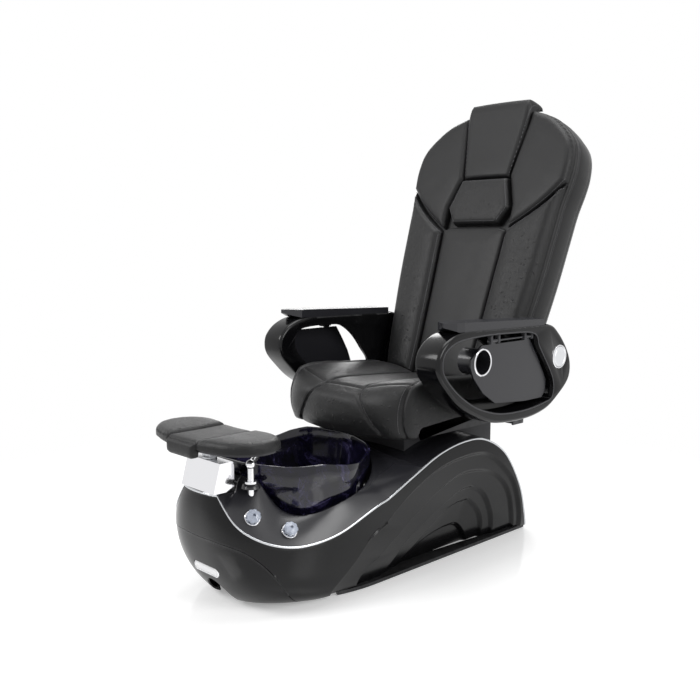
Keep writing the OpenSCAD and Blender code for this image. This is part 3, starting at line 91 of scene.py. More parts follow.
def loop_normals(loop: Array) -> Array:
    """Outward unit normals of a counter-clockwise or clockwise closed 2-D loop."""
    d = np.roll(loop, -1, 0) - np.roll(loop, 1, 0)
    n = np.stack([d[:, 1], -d[:, 0]], axis=1)
    n /= np.linalg.norm(n, axis=1)[:, None] + 1e-12
    area = np.sum(loop[:, 0] * np.roll(loop[:, 1], -1) - np.roll(loop[:, 0], -1) * loop[:, 1])
    return n if area > 0 else -n


def grow(loop: Array, by: float) -> Array:
    """Moves each point of a closed 2-D loop outward by a distance."""
    return loop + loop_normals(loop) * by


def new_object(name: str, verts: Sequence, faces: Sequence, smooth: float = 50.0) -> bpy.types.Object:
    """Makes a mesh object with smooth shading below an angle.

    Args:
        name: the piece's name.
        verts: vertex positions in metres.
        faces: index tuples.
        smooth: edges sharper than this many degrees stay sharp.
    Returns:
        The linked object.
    """
    mesh = bpy.data.meshes.new(name)
    mesh.from_pydata([tuple(map(float, v)) for v in verts], [], [tuple(map(int, f)) for f in faces])
    mesh.validate()
    bm = bmesh.new()
    bm.from_mesh(mesh)
    bmesh.ops.remove_doubles(bm, verts=bm.verts, dist=1e-6)
    bmesh.ops.recalc_face_normals(bm, faces=bm.faces)
    bm.to_mesh(mesh)
    bm.free()
    obj = bpy.data.objects.new(name, mesh)
    bpy.context.scene.collection.objects.link(obj)
    shade(obj, smooth)
    return obj


def shade(obj: bpy.types.Object, angle: float = 50.0) -> None:
    """Smooth shading, with edges sharper than angle marked sharp."""
    mesh = obj.data
    mesh.shade_smooth()
    mesh.set_sharp_from_angle(angle=math.radians(angle))


def grid_faces(rows: int, cols: int, wrap_rows: bool = False, wrap_cols: bool = False) -> list[tuple]:
    """Quads of a rows x cols point grid, row-major, optionally wrapping either way."""
    faces = []
    for r in range(rows if wrap_rows else rows - 1):
        for c in range(cols if wrap_cols else cols - 1):
            r2, c2 = (r + 1) % rows, (c + 1) % cols
            faces.append((r * cols + c, r * cols + c2, r2 * cols + c2, r2 * cols + c))
    return faces


def capped_faces(rows: int, cols: int) -> list[tuple]:
    """Quads of a point grid that wraps across its columns, with a cap on its first and last row."""
    return grid_faces(rows, cols, wrap_cols=True) + [
        tuple(range(cols)), tuple(range((rows - 1) * cols, rows * cols))[::-1]]


def grid_object(name: str, grid: Array, wrap_rows: bool = False, wrap_cols: bool = False,
                smooth: float = 50.0) -> bpy.types.Object:
    """A surface from a (rows, cols, 3) array of points in millimetres."""
    rows, cols = grid.shape[:2]
    faces = grid_faces(rows, cols, wrap_rows, wrap_cols)
    return new_object(name, grid.reshape(-1, 3) * MM, faces, smooth)


def modified(obj: bpy.types.Object, kind: str, **settings: object) -> bpy.types.Object:
    """Adds a modifier and applies it at once.

    Args:
        obj: the mesh object.
        kind: Blender's modifier type.
        settings: the modifier's properties.
    Returns:
        The same object with its new mesh.
    """
    m = obj.modifiers.new(kind.lower(), kind)
    for key, value in settings.items():
        setattr(m, key, value)
    graph = bpy.context.evaluated_depsgraph_get()
    mesh = bpy.data.meshes.new_from_object(obj.evaluated_get(graph))
    obj.modifiers.remove(m)
    old = obj.data
    obj.data = mesh
    bpy.data.meshes.remove(old)
    return obj


def thicken(obj: bpy.types.Object, mm: float) -> bpy.types.Object:
    """Gives a sheet a wall thickness on its inner side."""
    return modified(obj, "SOLIDIFY", thickness=mm * MM, offset=-1, use_even_offset=False)


def rounded(obj: bpy.types.Object, mm: float, segments: int = 3, angle: float = 35.0) -> bpy.types.Object:
    """Rounds an object's sharp edges."""
    modified(obj, "BEVEL", width=mm * MM, segments=segments, limit_method="ANGLE",
             angle_limit=math.radians(angle), use_clamp_overlap=True)
    shade(obj, 50)
    return obj


def cut(obj: bpy.types.Object, tool: bpy.types.Object) -> bpy.types.Object:
    """Takes the tool's volume out of an object and deletes the tool."""
    modified(obj, "BOOLEAN", operation="DIFFERENCE", object=tool, solver="EXACT")
    bpy.data.objects.remove(tool)
    return obj


def prism(name: str, outline: Array, low: float, high: float, place: Callable[[Array], Array],
          smooth: float = 40.0) -> bpy.types.Object:
    """A closed prism over a 2-D outline.

    Args:
        name: the piece's name.
        outline: closed loop of 2-D points in millimetres.
        low: depth of one end.
        high: depth of the other end.
        place: turns (n, 3) points of (u, v, depth) into the row frame, in millimetres.
        smooth: shading angle in degrees.
    Returns:
        The object.
    """
    n = len(outline)
    pts = np.vstack([np.c_[outline, np.full(n, low)], np.c_[outline, np.full(n, high)]])
    faces = [tuple(range(n)), tuple(range(2 * n - 1, n - 1, -1))]
    faces += [(k, (k + 1) % n, n + (k + 1) % n, n + k) for k in range(n)]
    return new_object(name, place(pts) * MM, faces, smooth)


def lathe(name: str, profile: Sequence[Sequence[float]], at: Sequence[float], axis: Sequence[float],
          segments: int = 64, smooth: float = 35.0) -> bpy.types.Object:
    """A turned piece: (radius, height) points in millimetres, spun about an axis."""
    p = np.asarray(profile, float)
    a = np.linspace(0, 2 * math.pi, segments, endpoint=False)
    grid = np.stack([np.outer(np.cos(a), p[:, 0]), np.outer(np.sin(a), p[:, 0]),
                     np.tile(p[:, 1], (segments, 1))], axis=2)
    turn = np.array(Vector(axis).to_track_quat("Z", "Y").to_matrix())
    grid = grid.reshape(-1, 3) @ turn.T + np.asarray(at, float)
    return grid_object(name, grid.reshape(segments, len(p), 3), wrap_rows=True, smooth=smooth)


def tube(name: str, path: Array, radius: float, sides: int = 20) -> bpy.types.Object:
    """A round tube along a 3-D path, in millimetres, with capped ends."""
    path = np.asarray(path, float)
    ahead = np.gradient(path, axis=0)
    ahead /= np.linalg.norm(ahead, axis=1)[:, None]
    up = np.tile([0.0, 0.0, 1.0], (len(path), 1))
    flat = np.abs(ahead[:, 2]) > 0.95
    up[flat] = [0.0, 1.0, 0.0]
    side = np.cross(ahead, up)
    side /= np.linalg.norm(side, axis=1)[:, None]
    up = np.cross(side, ahead)
    a = np.linspace(0, 2 * math.pi, sides, endpoint=False)
    grid = path[:, None] + radius * (np.cos(a)[None, :, None] * side[:, None] + np.sin(a)[None, :, None] * up[:, None])
    return grid_object(name, grid, wrap_cols=True)


THREAD_ANGLES = np.round(np.arange(5) * 2 * math.pi / 5, 3)


def add_stitch(verts: list, faces: list, centres: Sequence[Array], u: Array, v: Array, radius: float) -> None:
    """Adds one thread stitch to a mesh under construction.

    Args:
        verts: vertex list that the stitch joins.
        faces: face list that the stitch joins.
        centres: four points along the thread.
        u: first unit vector across the thread.
        v: second unit vector across the thread.
        radius: the thread's radius.
    """
    first, sides = len(verts), len(THREAD_ANGLES)
    for centre in centres:
        verts.extend(centre + radius * (math.cos(a) * u + math.sin(a) * v) for a in THREAD_ANGLES)
    faces += [tuple(first + k for k in quad) for quad in grid_faces(len(centres), sides, wrap_cols=True)]


def along(path: Array) -> Array:
    """Distance along a polyline at each of its points."""
    return np.concatenate([[0], np.cumsum(np.linalg.norm(np.diff(path, axis=0), axis=1))])


def unit(v: Array) -> Array:
    """The vector scaled to length 1."""
    return v / (np.linalg.norm(v) + 1e-9)


# ------------------------------------------------------------------ shader node groups


class Nodes:
    """Small helper that builds a node tree by calls."""

    def __init__(self, tree: bpy.types.NodeTree) -> None:
        self.tree = tree

    def add(self, kind: str, inputs: dict | None = None, **settings: object) -> bpy.types.Node:
        """Adds a node.

        Args:
            kind: the node's type name without "ShaderNode".
            inputs: input name or index to a value or an output socket.
            settings: node properties.
        Returns:
            The node.
        """
        node = self.tree.nodes.new("ShaderNode" + kind)
        for key, value in settings.items():
            setattr(node, key, value)
        for key, value in (inputs or {}).items():
            socket = node.inputs[key]
            if isinstance(value, bpy.types.NodeSocket):
                self.tree.links.new(value, socket)
            else:
                socket.default_value = value
        return node

    def ramp(self, factor: bpy.types.NodeSocket,
             stops: Sequence[tuple[float, Sequence[float]]]) -> bpy.types.NodeSocket:
        """A colour ramp over a factor; stops are (place, rgba)."""
        node = self.add("ValToRGB", {"Fac": factor})
        ramp = node.color_ramp
        while len(ramp.elements) < len(stops):
            ramp.elements.new(0.5)
        for element, (place, colour) in zip(ramp.elements, stops):
            element.position = place
            element.color = colour
        return node.outputs["Color"]

    def math(self, operation: str, a: object, b: object = 0.0) -> bpy.types.NodeSocket:
        """A math node of two values."""
        return self.add("Math", {0: a, 1: b}, operation=operation).outputs[0]


def group(name: str, inputs: Sequence[tuple], outputs: Sequence[tuple],
          build: Callable[[Nodes, bpy.types.Node, bpy.types.Node], None]) -> bpy.types.NodeTree:
    """Makes a shader node group with named sockets.

    Args:
        name: the group's name.
        inputs: (name, socket type, default) of each input.
        outputs: (name, socket type) of each output.
        build: fills the group between its input and output nodes.
    Returns:
        The node tree.
    """
    tree = bpy.data.node_groups.new(name, "ShaderNodeTree")
    for label, kind, default in inputs:
        socket = tree.interface.new_socket(label, in_out="INPUT", socket_type=kind)
        if default is not None:
            socket.default_value = default
    for label, kind in outputs:
        tree.interface.new_socket(label, in_out="OUTPUT", socket_type=kind)
    build(Nodes(tree), tree.nodes.new("NodeGroupInput"), tree.nodes.new("NodeGroupOutput"))
    return tree


FLOAT, COLOUR, VECTOR = "NodeSocketFloat", "NodeSocketColor", "NodeSocketVector"


def _grain(n: Nodes, i: bpy.types.Node, o: bpy.types.Node) -> None:
    """Fine leather grain: packed cells broken by noise."""
    place = n.add("TexCoord").outputs["Object"]
    warp = n.add("TexNoise", {"Vector": place, "Scale": 60.0, "Detail": 2.0})
    moved = n.add("MixRGB", {"Fac": 0.02, "Color1": place, "Color2": warp.outputs["Color"]})
    cells = n.add("TexVoronoi", {"Vector": moved.outputs[0], "Scale": i.outputs["Scale"]}, feature="DISTANCE_TO_EDGE")
    crease = n.math("MINIMUM", n.math("MULTIPLY", cells.outputs["Distance"], 3.0), 1.0)
    fine = n.add("TexNoise", {"Vector": place, "Scale": 900.0, "Detail": 3.0})
    height = n.math("ADD", crease, n.math("MULTIPLY", fine.outputs["Fac"], 0.6))
    bump = n.add("Bump", {"Strength": i.outputs["Strength"], "Distance": 0.0006, "Height": height,
                          "Normal": i.outputs["Normal"]})
    n.tree.links.new(bump.outputs["Normal"], o.inputs["Normal"])
    n.tree.links.new(crease, o.inputs["Mask"])


def _quills(n: Nodes, i: bpy.types.Node, o: bpy.types.Node) -> None:
    """Scattered raised follicles with a small dent in each, as on ostrich-grain upholstery, and a mask of the dents for
    painted shade.
    """
    place = n.add("TexCoord").outputs["Object"]
    warp = n.add("TexNoise", {"Vector": place, "Scale": 35.0, "Detail": 1.0})
    moved = n.add("MixRGB", {"Fac": 0.03, "Color1": place, "Color2": warp.outputs["Color"]})
    cells = n.add("TexVoronoi", {"Vector": moved.outputs[0], "Scale": i.outputs["Scale"], "Randomness": 0.9})
    near = n.add("MapRange", {"Value": cells.outputs["Distance"], "From Min": 0.34, "From Max": 0.04},
                 interpolation_type="SMOOTHSTEP")
    dent = n.add("MapRange", {"Value": cells.outputs["Distance"], "From Min": 0.11, "From Max": 0.02},
                 interpolation_type="SMOOTHSTEP")
    chosen = n.add("MapRange", {"Value": n.add("SeparateColor", {"Color": cells.outputs["Color"]}).outputs[0],
                                "From Min": 0.35, "From Max": 0.6})
    height = n.math("SUBTRACT", near.outputs[0], n.math("MULTIPLY", dent.outputs[0], 0.9))
    height = n.math("MULTIPLY", height, chosen.outputs[0])
    bump = n.add("Bump", {"Strength": i.outputs["Strength"], "Distance": 0.0012, "Height": height,
                          "Normal": i.outputs["Normal"]})
    n.tree.links.new(bump.outputs["Normal"], o.inputs["Normal"])
    # The dent mask goes out to darken each dent's colour: painted shade.
    n.tree.links.new(n.math("MULTIPLY", dent.outputs[0], chosen.outputs[0]), o.inputs["Mask"])


def _mottle(n: Nodes, i: bpy.types.Node, o: bpy.types.Node) -> None:
    """Slow colour and roughness drift across a surface."""
    place = n.add("TexCoord").outputs["Object"]
    slow = n.add("TexNoise", {"Vector": place, "Scale": i.outputs["Scale"], "Detail": 4.0})
    centred = n.math("SUBTRACT", slow.outputs["Fac"], 0.5)
    gain = n.math("ADD", n.math("MULTIPLY", centred, i.outputs["Amount"]), 1.0)
    scaled = n.add("VectorMath", {0: i.outputs["Color"], "Scale": gain}, operation="SCALE")
    n.tree.links.new(scaled.outputs[0], o.inputs["Color"])
    n.tree.links.new(n.math("MULTIPLY", centred, i.outputs["Amount"]), o.inputs["Drift"])


def _painted_edge_highlight(n: Nodes, i: bpy.types.Node, o: bpy.types.Node) -> None:
    """Mask of convex edges, broken up by noise; the material lightens these edges to grey as a painted highlight."""
    geometry = n.add("NewGeometry")
    sharp = n.add("MapRange", {"Value": geometry.outputs["Pointiness"], "From Min": 0.52, "From Max": 0.6})
    place = n.add("TexCoord").outputs["Object"]
    spots = n.add("TexNoise", {"Vector": place, "Scale": 40.0, "Detail": 4.0})
    mask = n.math("MULTIPLY", sharp.outputs[0], n.math("MULTIPLY", spots.outputs["Fac"], i.outputs["Amount"]))
    n.tree.links.new(mask, o.inputs["Mask"])


def _orange_peel(n: Nodes, i: bpy.types.Node, o: bpy.types.Node) -> None:
    """The slight waviness of a moulded or lacquered surface."""
    place = n.add("TexCoord").outputs["Object"]
    wave = n.add("TexNoise", {"Vector": place, "Scale": i.outputs["Scale"], "Detail": 2.0})
    bump = n.add("Bump", {"Strength": i.outputs["Strength"], "Distance": 0.001, "Height": wave.outputs["Fac"],
                          "Normal": i.outputs["Normal"]})
    n.tree.links.new(bump.outputs["Normal"], o.inputs["Normal"])


GROUPS = {
    "grain": group("leather_grain", [("Scale", FLOAT, 420.0), ("Strength", FLOAT, 0.3), ("Normal", VECTOR, None)],
                   [("Normal", VECTOR), ("Mask", FLOAT)], _grain),
    "quills": group("quill_bumps", [("Scale", FLOAT, 70.0), ("Strength", FLOAT, 0.6), ("Normal", VECTOR, None)],
                    [("Normal", VECTOR), ("Mask", FLOAT)], _quills),
    "mottle": group("mottle", [("Color", COLOUR, (0.5, 0.5, 0.5, 1.0)), ("Scale", FLOAT, 9.0), ("Amount", FLOAT, 0.5)],
                    [("Color", COLOUR), ("Drift", FLOAT)], _mottle),
    "edge": group("rubbed_edge", [("Amount", FLOAT, 0.5)], [("Mask", FLOAT)], _painted_edge_highlight),
    "peel": group("moulding_waves", [("Scale", FLOAT, 120.0), ("Strength", FLOAT, 0.1), ("Normal", VECTOR, None)],
                  [("Normal", VECTOR)], _orange_peel),
}


class Texture(Enum):
    """Which relief a finish carries."""

    NONE = "none"
    PEEL = "peel"
    GRAIN = "grain"
    QUILLS = "quills"


@dataclass(frozen=True)
class Finish:
    """A surface finish that can paint a material."""

    name: str
    colour: tuple[float, float, float]
    roughness: float = 0.5
    metallic: float = 0.0
    coat: float = 0.0
    specular: float = 0.4
    sheen: float = 0.0
    texture: Texture = Texture.PEEL
    relief: float = 0.1
    scale: float = 120.0
    drift: float = 0.4
    # How strongly convex edges are lightened to grey: a painted edge highlight.
    edge_highlight: float = 0.15
    bevel: float = 0.0
    transmission: float = 0.0

    def material(self) -> bpy.types.Material:
        """Builds the material, or returns the one already built."""
        found = bpy.data.materials.get(self.name)
        if found:
            return found
        mat = bpy.data.materials.new(self.name)
        mat.use_nodes = True
        mat.node_tree.nodes.clear()
        n = Nodes(mat.node_tree)
        mottle = n.add("Group", node_tree=GROUPS["mottle"])
        mottle.inputs["Color"].default_value = (*self.colour, 1.0)
        mottle.inputs["Amount"].default_value = self.drift
        # Convex edges are mixed towards a lighter grey: a painted highlight.
        edge = n.add("Group", node_tree=GROUPS["edge"])
        edge.inputs["Amount"].default_value = self.edge_highlight
        colour = n.add("MixRGB", {"Fac": edge.outputs["Mask"], "Color1": mottle.outputs["Color"],
                                  "Color2": (0.35, 0.35, 0.36, 1.0)}).outputs[0]
        rough = n.math("ADD", n.math("MULTIPLY", mottle.outputs["Drift"], 0.25), self.roughness)
        normal = n.add("Bevel", {"Radius": self.bevel * MM}, samples=6).outputs[0] if self.bevel else None
        if self.texture is not Texture.NONE:
            key = "grain" if self.texture is Texture.QUILLS else self.texture.value
            relief = n.add("Group", node_tree=GROUPS[key])
            relief.inputs["Scale"].default_value = self.scale
            relief.inputs["Strength"].default_value = self.relief
            if normal:
                n.tree.links.new(normal, relief.inputs["Normal"])
            normal = relief.outputs["Normal"]
            if self.texture is Texture.QUILLS:
                quills = n.add("Group", {"Normal": normal}, node_tree=GROUPS["quills"])
                quills.inputs["Strength"].default_value = min(1.0, self.relief * 2.6)
                normal = quills.outputs["Normal"]
                # Each follicle's dent is darkened towards black: painted shade in the hollow.
                colour = n.add("MixRGB", {"Fac": n.math("MULTIPLY", quills.outputs["Mask"], 0.5), "Color1": colour,
                                          "Color2": (0.006, 0.006, 0.006, 1.0)}).outputs[0]
        shader = n.add("BsdfPrincipled", {
            "Base Color": colour, "Roughness": rough, "Metallic": self.metallic, "Coat Weight": self.coat,
            "Coat Roughness": 0.06, "Specular IOR Level": self.specular, "Sheen Weight": self.sheen,
            "Sheen Roughness": 0.4, "Transmission Weight": self.transmission,
        })
        if normal:
            n.tree.links.new(normal, shader.inputs["Normal"])
        out = n.add("OutputMaterial", {"Surface": shader.outputs[0]})
        out.location = (400, 0)
        return mat


class Paint:
    """The chair's finishes."""

    SHELL = Finish("shell_black", (0.0035, 0.0035, 0.004), 0.22, specular=0.22, relief=0.05, scale=60.0, drift=0.25)
    GLOSS = Finish("gloss_black", (0.002, 0.002, 0.0025), 0.10, specular=0.28, relief=0.03, scale=45.0, drift=0.2,
                   bevel=1.2)
    GLOSS_ARM = Finish("arm_black", (0.003, 0.003, 0.0035), 0.17, specular=0.26, relief=0.03, scale=50.0, drift=0.2)
    SATIN = Finish("satin_black", (0.005, 0.005, 0.0055), 0.34, specular=0.25, relief=0.12, scale=700.0, drift=0.3,
                   bevel=1.0)
    TRIM = Finish("bright_trim", (0.26, 0.27, 0.29), 0.2, metallic=1.0, relief=0.02, drift=0.1, edge_highlight=0.0)
    CHROME = Finish("mirror_chrome", (0.78, 0.79, 0.81), 0.06, metallic=1.0, relief=0.02, scale=30.0, drift=0.08,
                    edge_highlight=0.0, bevel=0.8)
    SMOOTH = Finish("smooth_leather", (0.0095, 0.0095, 0.01), 0.42, specular=0.26, sheen=0.03,
                    texture=Texture.GRAIN, relief=0.22, scale=520.0, drift=0.35, edge_highlight=0.03)
    QUILL = Finish("quill_leather", (0.010, 0.010, 0.0105), 0.40, specular=0.26, sheen=0.03,
                   texture=Texture.QUILLS, relief=0.34, scale=430.0, drift=0.4, edge_highlight=0.04)
    THREAD = Finish("thread", (0.17, 0.17, 0.18), 0.7, relief=0.3, scale=900.0, edge_highlight=0.0)
    PIPE = Finish("plain_plastic", (0.62, 0.62, 0.6), 0.45, relief=0.08, bevel=0.6)
    FRAME = Finish("powder_coat", (0.018, 0.018, 0.02), 0.5, relief=0.3, scale=900.0, bevel=0.8, edge_highlight=0.3)
    STEEL = Finish("bare_steel", (0.45, 0.46, 0.48), 0.3, metallic=1.0, relief=0.1, scale=300.0, bevel=0.5)
    BRASS = Finish("brass", (0.6, 0.42, 0.17), 0.3, metallic=1.0, relief=0.1, scale=200.0, bevel=0.5)
    RUBBER = Finish("rubber", (0.012, 0.012, 0.012), 0.75, relief=0.3, scale=500.0, edge_highlight=0.1)
    SILVER = Finish("control_silver", (0.62, 0.63, 0.65), 0.24, metallic=1.0, relief=0.05, drift=0.15, edge_highlight=0.0,
                    bevel=0.5)
    CRYSTAL = Finish("knob_crystal", (0.25, 0.32, 0.45), 0.08, coat=0.5, relief=0.02, drift=0.2, bevel=0.5,
                     transmission=0.5)
    LAMP = Finish("lamp_lens", (0.72, 0.74, 0.78), 0.2, coat=0.5, relief=0.1, scale=400.0, drift=0.1, bevel=0.8)

    BY_SLOT = {
        "frame_steel": FRAME, "rubber_pad": RUBBER, "moulded_black": SHELL, "lamp_lens": LAMP, "gloss_black": GLOSS,
        "bright_trim": TRIM, "mirror_chrome": CHROME, "pipe_plastic": PIPE, "motor_black": FRAME,
        "brass_body": BRASS, "knob_crystal": CRYSTAL, "rail_steel": STEEL, "satin_black": SATIN,
        "black_leather": SMOOTH, "grain_leather": QUILL, "control_silver": SILVER,
    }


def glass_material() -> bpy.types.Material:
    """Dark violet art glass with pale drifting streaks."""
    mat = bpy.data.materials.new("art_glass")
    mat.use_nodes = True
    mat.node_tree.nodes.clear()
    n = Nodes(mat.node_tree)
    place = n.add("TexCoord").outputs["Object"]
    warp = n.add("TexNoise", {"Vector": place, "Scale": 7.0, "Detail": 5.0, "Distortion": 1.2})
    moved = n.add("MixRGB", {"Fac": 0.25, "Color1": place, "Color2": warp.outputs["Color"]})
    cloud = n.add("TexNoise", {"Vector": moved.outputs[0], "Scale": 16.0, "Detail": 9.0, "Roughness": 0.68})
    colour = n.ramp(cloud.outputs["Fac"], [
        (0.38, (0.002, 0.002, 0.004, 1)), (0.54, (0.006, 0.005, 0.016, 1)), (0.62, (0.03, 0.026, 0.07, 1)),
        (0.70, (0.16, 0.15, 0.24, 1)), (0.82, (0.5, 0.5, 0.6, 1))])
    peel = n.add("Group", node_tree=GROUPS["peel"])
    peel.inputs["Scale"].default_value = 28.0
    peel.inputs["Strength"].default_value = 0.35
    shader = n.add("BsdfPrincipled", {
        "Base Color": colour, "Roughness": 0.09, "Coat Weight": 0.25, "Coat Roughness": 0.03, "IOR": 1.5,
        "Specular IOR Level": 0.35, "Normal": peel.outputs["Normal"], "Subsurface Weight": 0.1, "Subsurface Radius": (0.01, 0.01, 0.02)})
    n.add("OutputMaterial", {"Surface": shader.outputs[0]})
    return mat


class Chair:
    """Keeps the pieces that have been made and gives each its body, finish and log line."""

    def __init__(self) -> None:
        self.count = 0

    def place(self, obj: bpy.types.Object, body: str, finish: Finish | bpy.types.Material, slot: str,
              replaces: Sequence[str] = (), fill: float | None = None) -> bpy.types.Object:
        """Finishes a piece.

        Args:
            obj: the piece, in the row frame.
            body: the CAD body it rides on.
            finish: its finish or material.
            slot: the record's material slot; not used.
            replaces: CAD nodes that it stands for.
            fill: how full it is, if it is padded; not used.
        Returns:
            The piece.
        """
        mat = finish.material() if isinstance(finish, Finish) else finish
        obj.data.materials.clear()
        obj.data.materials.append(mat)
        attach(obj, body)
        if replaces:
            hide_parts(*replaces)
        self.count += 1
        LOG.info("piece %-24s body %-14s %6d vertices", obj.name, body, len(obj.data.vertices))
        return obj


CHAIR = Chair()


# ------------------------------------------------------------------ base


def flat_up(p: Array) -> Array:
    """Keeps (x, y, z)."""
    return p


def depth_along_y(p: Array) -> Array:
    """Turns (x, z, depth rearward) into the row frame."""
    return np.c_[p[:, 0], p[:, 2], p[:, 1]]


@dataclass
class BaseForm:
    """The outline that every shell of the base follows. Sizes in millimetres."""

    floor_half_w: float = 222
    side_bulge: float = 48
    nose_len: float = 358
    nose_bulge: float = 104
    belly_z: float = 260
    nose_y: float = -200
    foot_z: float = 12.3
    floor_gap: float = 2
    nose_top_z: float = 327
    trim_half_w: float = 3
    gap: float = 0.3
    crown: float = 14
    nose_cols: int = 10
    arch_cols: int = 24
    kick_cols: int = 8
    split: float = 4.6
    seam_col: int = 17
    deck_edge: list = field(default_factory=lambda: [
        [160, 327], [250, 265], [360, 230], [520, 203], [680, 193], [850, 208], [1000, 263], [1120, 313],
        [1240, 357], [1360, 375], [1460, 364], [1560, 305], [1645, 187], [1700, 80], [1740, 12.3]])
    kick_seam: list = field(default_factory=lambda: [
        [0, 204], [110, 204], [285, 191], [410, 158], [500, 106], [535, 45], [545, 2]])
    arches: list = field(default_factory=lambda: [
        [[738, 12.3], [850, 60], [930, 108], [1000, 189], [1098, 257], [1206, 304], [1314, 326], [1434, 327],
         [1504, 301], [1578, 243], [1628, 187], [1680, 85], [1710, 12.3]],
        [[905, 12.3], [950, 45], [1013, 98], [1115, 169], [1231, 235], [1332, 270], [1412, 273], [1496, 256],
         [1564, 216], [1614, 160], [1655, 75], [1684, 12.3]],
        [[1037, 12.3], [1080, 55], [1135, 110], [1249, 168], [1340, 208], [1390, 219], [1430, 214],
         [1488, 179], [1539, 108], [1565, 50], [1574, 12.3]],
        [[1075, 12.3], [1140, 48], [1213, 98], [1293, 152], [1350, 172], [1395, 175], [1426, 168],
         [1485, 118], [1516, 63], [1526, 12.3]],
        [[1130, 12.3], [1170, 38], [1216, 72], [1290, 94], [1350, 100], [1385, 95], [1415, 75], [1445, 40],
         [1460, 12.3]]])

    @property
    def cols(self) -> int:
        """Number of columns on each side."""
        return self.nose_cols + self.arch_cols

    def skin(self, s: float, z: float, inset: float = 0) -> Array:
        """Point of the outer surface: s runs 0 to 1 round the nose, then by 1 per metre to the rear."""
        grown = math.sin(math.pi / 2 * (max(z, 0) / self.belly_z) ** 0.75)
        w = self.floor_half_w + self.side_bulge * grown - inset
        length = self.nose_len + self.nose_bulge * grown - inset
        n = 1.7 + 1.45 * math.sin(math.pi * (max(z, 0) / 400) ** 0.6)
        if s <= 1:
            a = math.pi / 2 * max(s, 0)
            return np.array([w * math.sin(a) ** (2 / n), self.nose_y - length * max(math.cos(a), 0) ** (2 / n), z])
        return np.array([w, self.nose_y + (s - 1) * 1000, z])

    def side(self, c: float, sz: Sequence[float], inset: float) -> Array:
        """Skin point on the side that the sign of column c names."""
        p = self.skin(sz[0] / 1000, sz[1], inset)
        return p * np.array([-1, 1, 1]) if c < 0 else p

    def edge(self, i: float) -> Array:
        """Deck edge at column i, as (1000 s, z)."""
        if i < 2:
            return np.array([80 * i, self.nose_top_z], float)
        t = (self.split * (i - 2) / (self.nose_cols - 2) if i <= self.nose_cols
             else self.split + (len(self.deck_edge) - 1 - self.split) * (i - self.nose_cols) / self.arch_cols)
        return spline(self.deck_edge, t)[0]

    def edge_normal(self, i: float) -> Array:
        """Unit normal of the deck edge, up and out of the side."""
        d = self.edge(min(i + 0.2, self.cols)) - self.edge(max(i - 0.2, 0))
        return np.array([-d[1], d[0]]) / np.linalg.norm(d)

    def edge_off(self, i: float, d: float) -> Array:
        """Deck edge moved by d along its normal."""
        p = self.edge(i) + d * self.edge_normal(i)
        return np.array([max(p[0], 0), p[1]])

    def arch(self, k: int, i: float, w: float) -> Array:
        """Arch k at column i, drawn in towards its own middle by w."""
        a = np.array(self.arches[k], float)
        p = spline(a, (len(a) - 1) * (i - self.nose_cols) / self.arch_cols)[0]
        mid, rx, rz = (a[0, 0] + a[-1, 0]) / 2, (a[-1, 0] - a[0, 0]) / 2, a[:, 1].max()
        return np.array([mid + (p[0] - mid) * (1 - w / rx), self.foot_z + (p[1] - self.foot_z) * (1 - w / rz)])

    def seam_low(self, i: float, w: float) -> Array:
        """Lower edge of the plain side: kick panel seam, floor, then w outside the first arch."""
        if i <= self.kick_cols:
            return spline(self.kick_seam, (len(self.kick_seam) - 1) * i / self.kick_cols)[0]
        if i < self.nose_cols:
            t = (i - self.kick_cols) / (self.nose_cols - self.kick_cols)
            start, end = np.array([self.kick_seam[6][0], self.floor_gap]), self.arch(0, self.nose_cols, w)
            return start + (end - start) * t
        return self.arch(0, i, w)

    def cross(self, i: float, t: float, drop: float) -> Array:
        """Crowned line across the deck at column i, from side to side as t goes from 1 to -1."""
        e, n = self.edge_off(i, self.trim_half_w + self.gap), self.edge_normal(i)
        p = self.skin(e[0] / 1000, e[1], 1 + 1.6 * drop)
        out = self.crown * (1 - t * t) - drop
        return np.array([p[0] * t, p[1] + n[0] * out, p[2] + n[1] * out])


